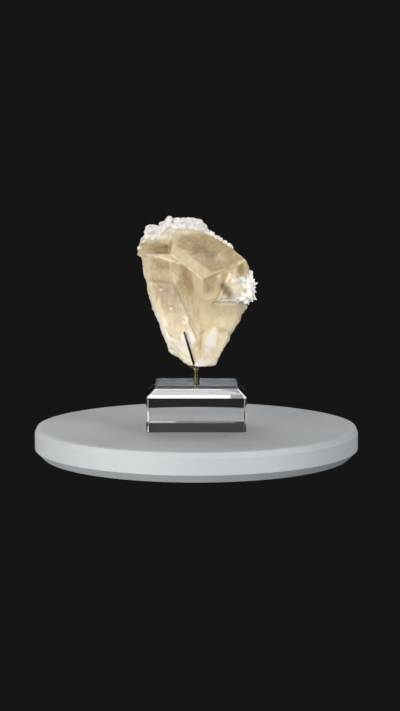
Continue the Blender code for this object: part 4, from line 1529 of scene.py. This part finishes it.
def brass_material(name):
    """Brass or solder under a patina, worn bright on what stands out."""
    dark, light, roughness = BRASS_FINISHES[name]
    material, nodes, shader = new_material(name)
    clouds = nodes.placed(CLOUDS, Large=120.0, Small=700.0, Grain=4000.0)
    worn = nodes.ramp(nodes.plus(nodes.raised(), clouds["Wisps"], 0.16), 0.56, 0.66)
    tarnish = nodes.maths("MULTIPLY", nodes.ramp(clouds["Clouds"], 0.35, 0.65), 0.45)
    share = nodes.maths("ADD", tarnish, worn, clamp=True)
    nodes.join(nodes.mix(share, dark, light), shader["Base Color"])
    nodes.join(nodes.ramp(clouds["Wisps"], 0.3, 0.7, roughness - 0.1, roughness + 0.15), shader["Roughness"])
    nodes.join(nodes.bump(clouds["Specks"], 0.3, 0.0001), shader["Normal"])
    shader["Metallic"].default_value = 1.0
    return material


def floor_material():
    """A pale matt floor with a faint grain."""
    material, nodes, shader = new_material("pale floor")
    clouds = nodes.placed(CLOUDS, Large=3.0, Small=60.0, Grain=900.0)
    nodes.join(nodes.mix(clouds["Wisps"], FLOOR_DARK, FLOOR_LIGHT), shader["Base Color"])
    nodes.join(nodes.ramp(clouds["Specks"], 0.3, 0.7, 0.5, 0.65), shader["Roughness"])
    return material


# Floor, lamps and camera

# The floor's rim from below, as (radius, height) in millimetres. Its top is just under the block
FLOOR_RIM = ((157.0, -30.0), (165.0, -22.0), (165.0, -6.0), (163.0, -1.0), (159.0, -0.2))
FLOOR_SIDES = 160

# The camera stands in metres and looks down by an angle in degrees
CAMERA_PLACE = (0.00373, -1.7238, 0.2727)
CAMERA_DOWN = 6.66
CAMERA_LENS = 86.08
CAMERA_SENSOR = 36.0

BACKDROP = (0.0085, 0.008, 0.008, 1)

# Lamps, in metres: place, what it faces, width, depth, watts, colour
LAMPS = {
    "top_strip": ((-0.065, -0.188, 1.0), (-0.065, -0.188, 0), 0.28, 0.042, 0.2, (1.0, 0.99, 0.98)),
    "rear_top_lamp": ((-0.05, 0.36, 1.1), (0, 0, 0.15), 0.7, 0.5, 4.5, (1.0, 0.98, 0.96)),
    "left_panel": ((-1.2, -1.7, 0.2), (0, 0, 0.13), 0.9, 0.9, 47.0, (1.0, 0.98, 0.95)),
    "right_panel": ((1.2, -1.5, 0.32), (0, 0, 0.12), 0.7, 0.7, 33.0, (1.0, 0.98, 0.95)),
    "low_panel": ((0.0, -3.0, 0.45), (0, 0, 0.05), 2.4, 0.5, 3.2, (0.72, 0.86, 1.0)),
    "right_lamp": ((1.1, -0.35, 0.85), (0, 0, 0.13), 0.4, 0.4, 6.0, (0.96, 0.98, 1.0)),
    "back_lamp": ((-0.45, 1.3, 0.95), (0, 0, 0.15), 1.1, 1.1, 6.0, (1.0, 0.95, 0.88)),
    "back_right_lamp": ((0.9, 1.2, 1.1), (0, 0, 0.15), 0.8, 0.8, 7.0, (1.0, 0.97, 0.92)),
    "left_lamp": ((-1.3, -0.5, 0.2), (0, 0, 0.12), 0.5, 0.5, 11.5, (1.0, 0.97, 0.90)),
}


def round_floor():
    """The pale round floor under the block, with a rounded rim."""
    floor = turned("floor", FLOOR_RIM, FLOOR_SIDES)
    floor.data.materials.append(floor_material())


def lamps():
    """Soft round lamps."""
    for name, (place, target, width, depth, watts, colour) in LAMPS.items():
        lamp = bpy.data.lights.new(name, "AREA")
        lamp.shape = "ELLIPSE"
        lamp.size = width
        lamp.size_y = depth
        lamp.energy = watts
        lamp.color = colour
        holder = add_object(name, lamp)
        holder.location = place
        holder.rotation_mode = "QUATERNION"
        holder.rotation_quaternion = (Vector(target) - Vector(place)).to_track_quat("-Z", "Y")


def backdrop():
    """A dim plain backdrop."""
    world = bpy.data.worlds.new("plain backdrop")
    world.use_nodes = True
    world.node_tree.nodes["Background"].inputs["Color"].default_value = BACKDROP
    bpy.context.scene.world = world
    bpy.context.scene.view_settings.view_transform = "Standard"


def camera():
    """The camera at the photograph's angle."""
    lens = bpy.data.cameras.new("camera")
    lens.lens = CAMERA_LENS
    lens.sensor_width = CAMERA_SENSOR
    holder = add_object("camera", lens)
    holder.location = CAMERA_PLACE
    holder.rotation_euler = (math.radians(90 - CAMERA_DOWN), 0, 0)
    bpy.context.scene.camera = holder


# The object


def dress(obj, material):
    """Give a piece its material and its slot, and let it ride with the object."""
    obj.data.materials.clear()
    obj.data.materials.append(material)
    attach(obj, "root")
    return obj


def build_crystal():
    """The crystal group and all the crust on it."""
    white, frosted = crust_material("white crust"), crust_material("frosted points")
    skin = crystal_skin()
    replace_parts(dress(skin.piece(), calcite_material()), "calcite_crystal")
    points, faces = skin.worked().tolist(), face_lists(skin.mesh)
    bare = skin.on(*BARE)
    body_tree = BVHTree.FromPolygons(points, faces)
    bare_tree = BVHTree.FromPolygons(points, [face for face in faces if bare[face[0]]])
    rng = random.Random(CRUST_SEED)
    for name in CRUST_LUMPS:
        rows, finish = (LUMP_ROWS[:1], frosted) if name in ONE_ROW else (LUMP_ROWS, white)
        dress(crust(name, rows, bare_tree, rng), finish)
    for name, finish in (("crust_back", frosted), ("crust_back_top", white)):
        dress(back_crust(name, body_tree, rng), finish)


def build_stand():
    """The clear block, the post, the prongs and the solder."""
    patina = brass_material("brass patina")
    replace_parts(dress(polished_block(), acrylic_material()), "clear_block")
    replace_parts(dress(post(), patina), "brass_post")
    for k, (name, (node, route)) in enumerate(PRONGS.items()):
        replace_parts(dress(bent_wire(name, route, k * WIRE_GRAIN_SHIFT), patina), node)
    dress(solder_bead(), brass_material("solder"))


build_crystal()
build_stand()
round_floor()
lamps()
backdrop()
camera()
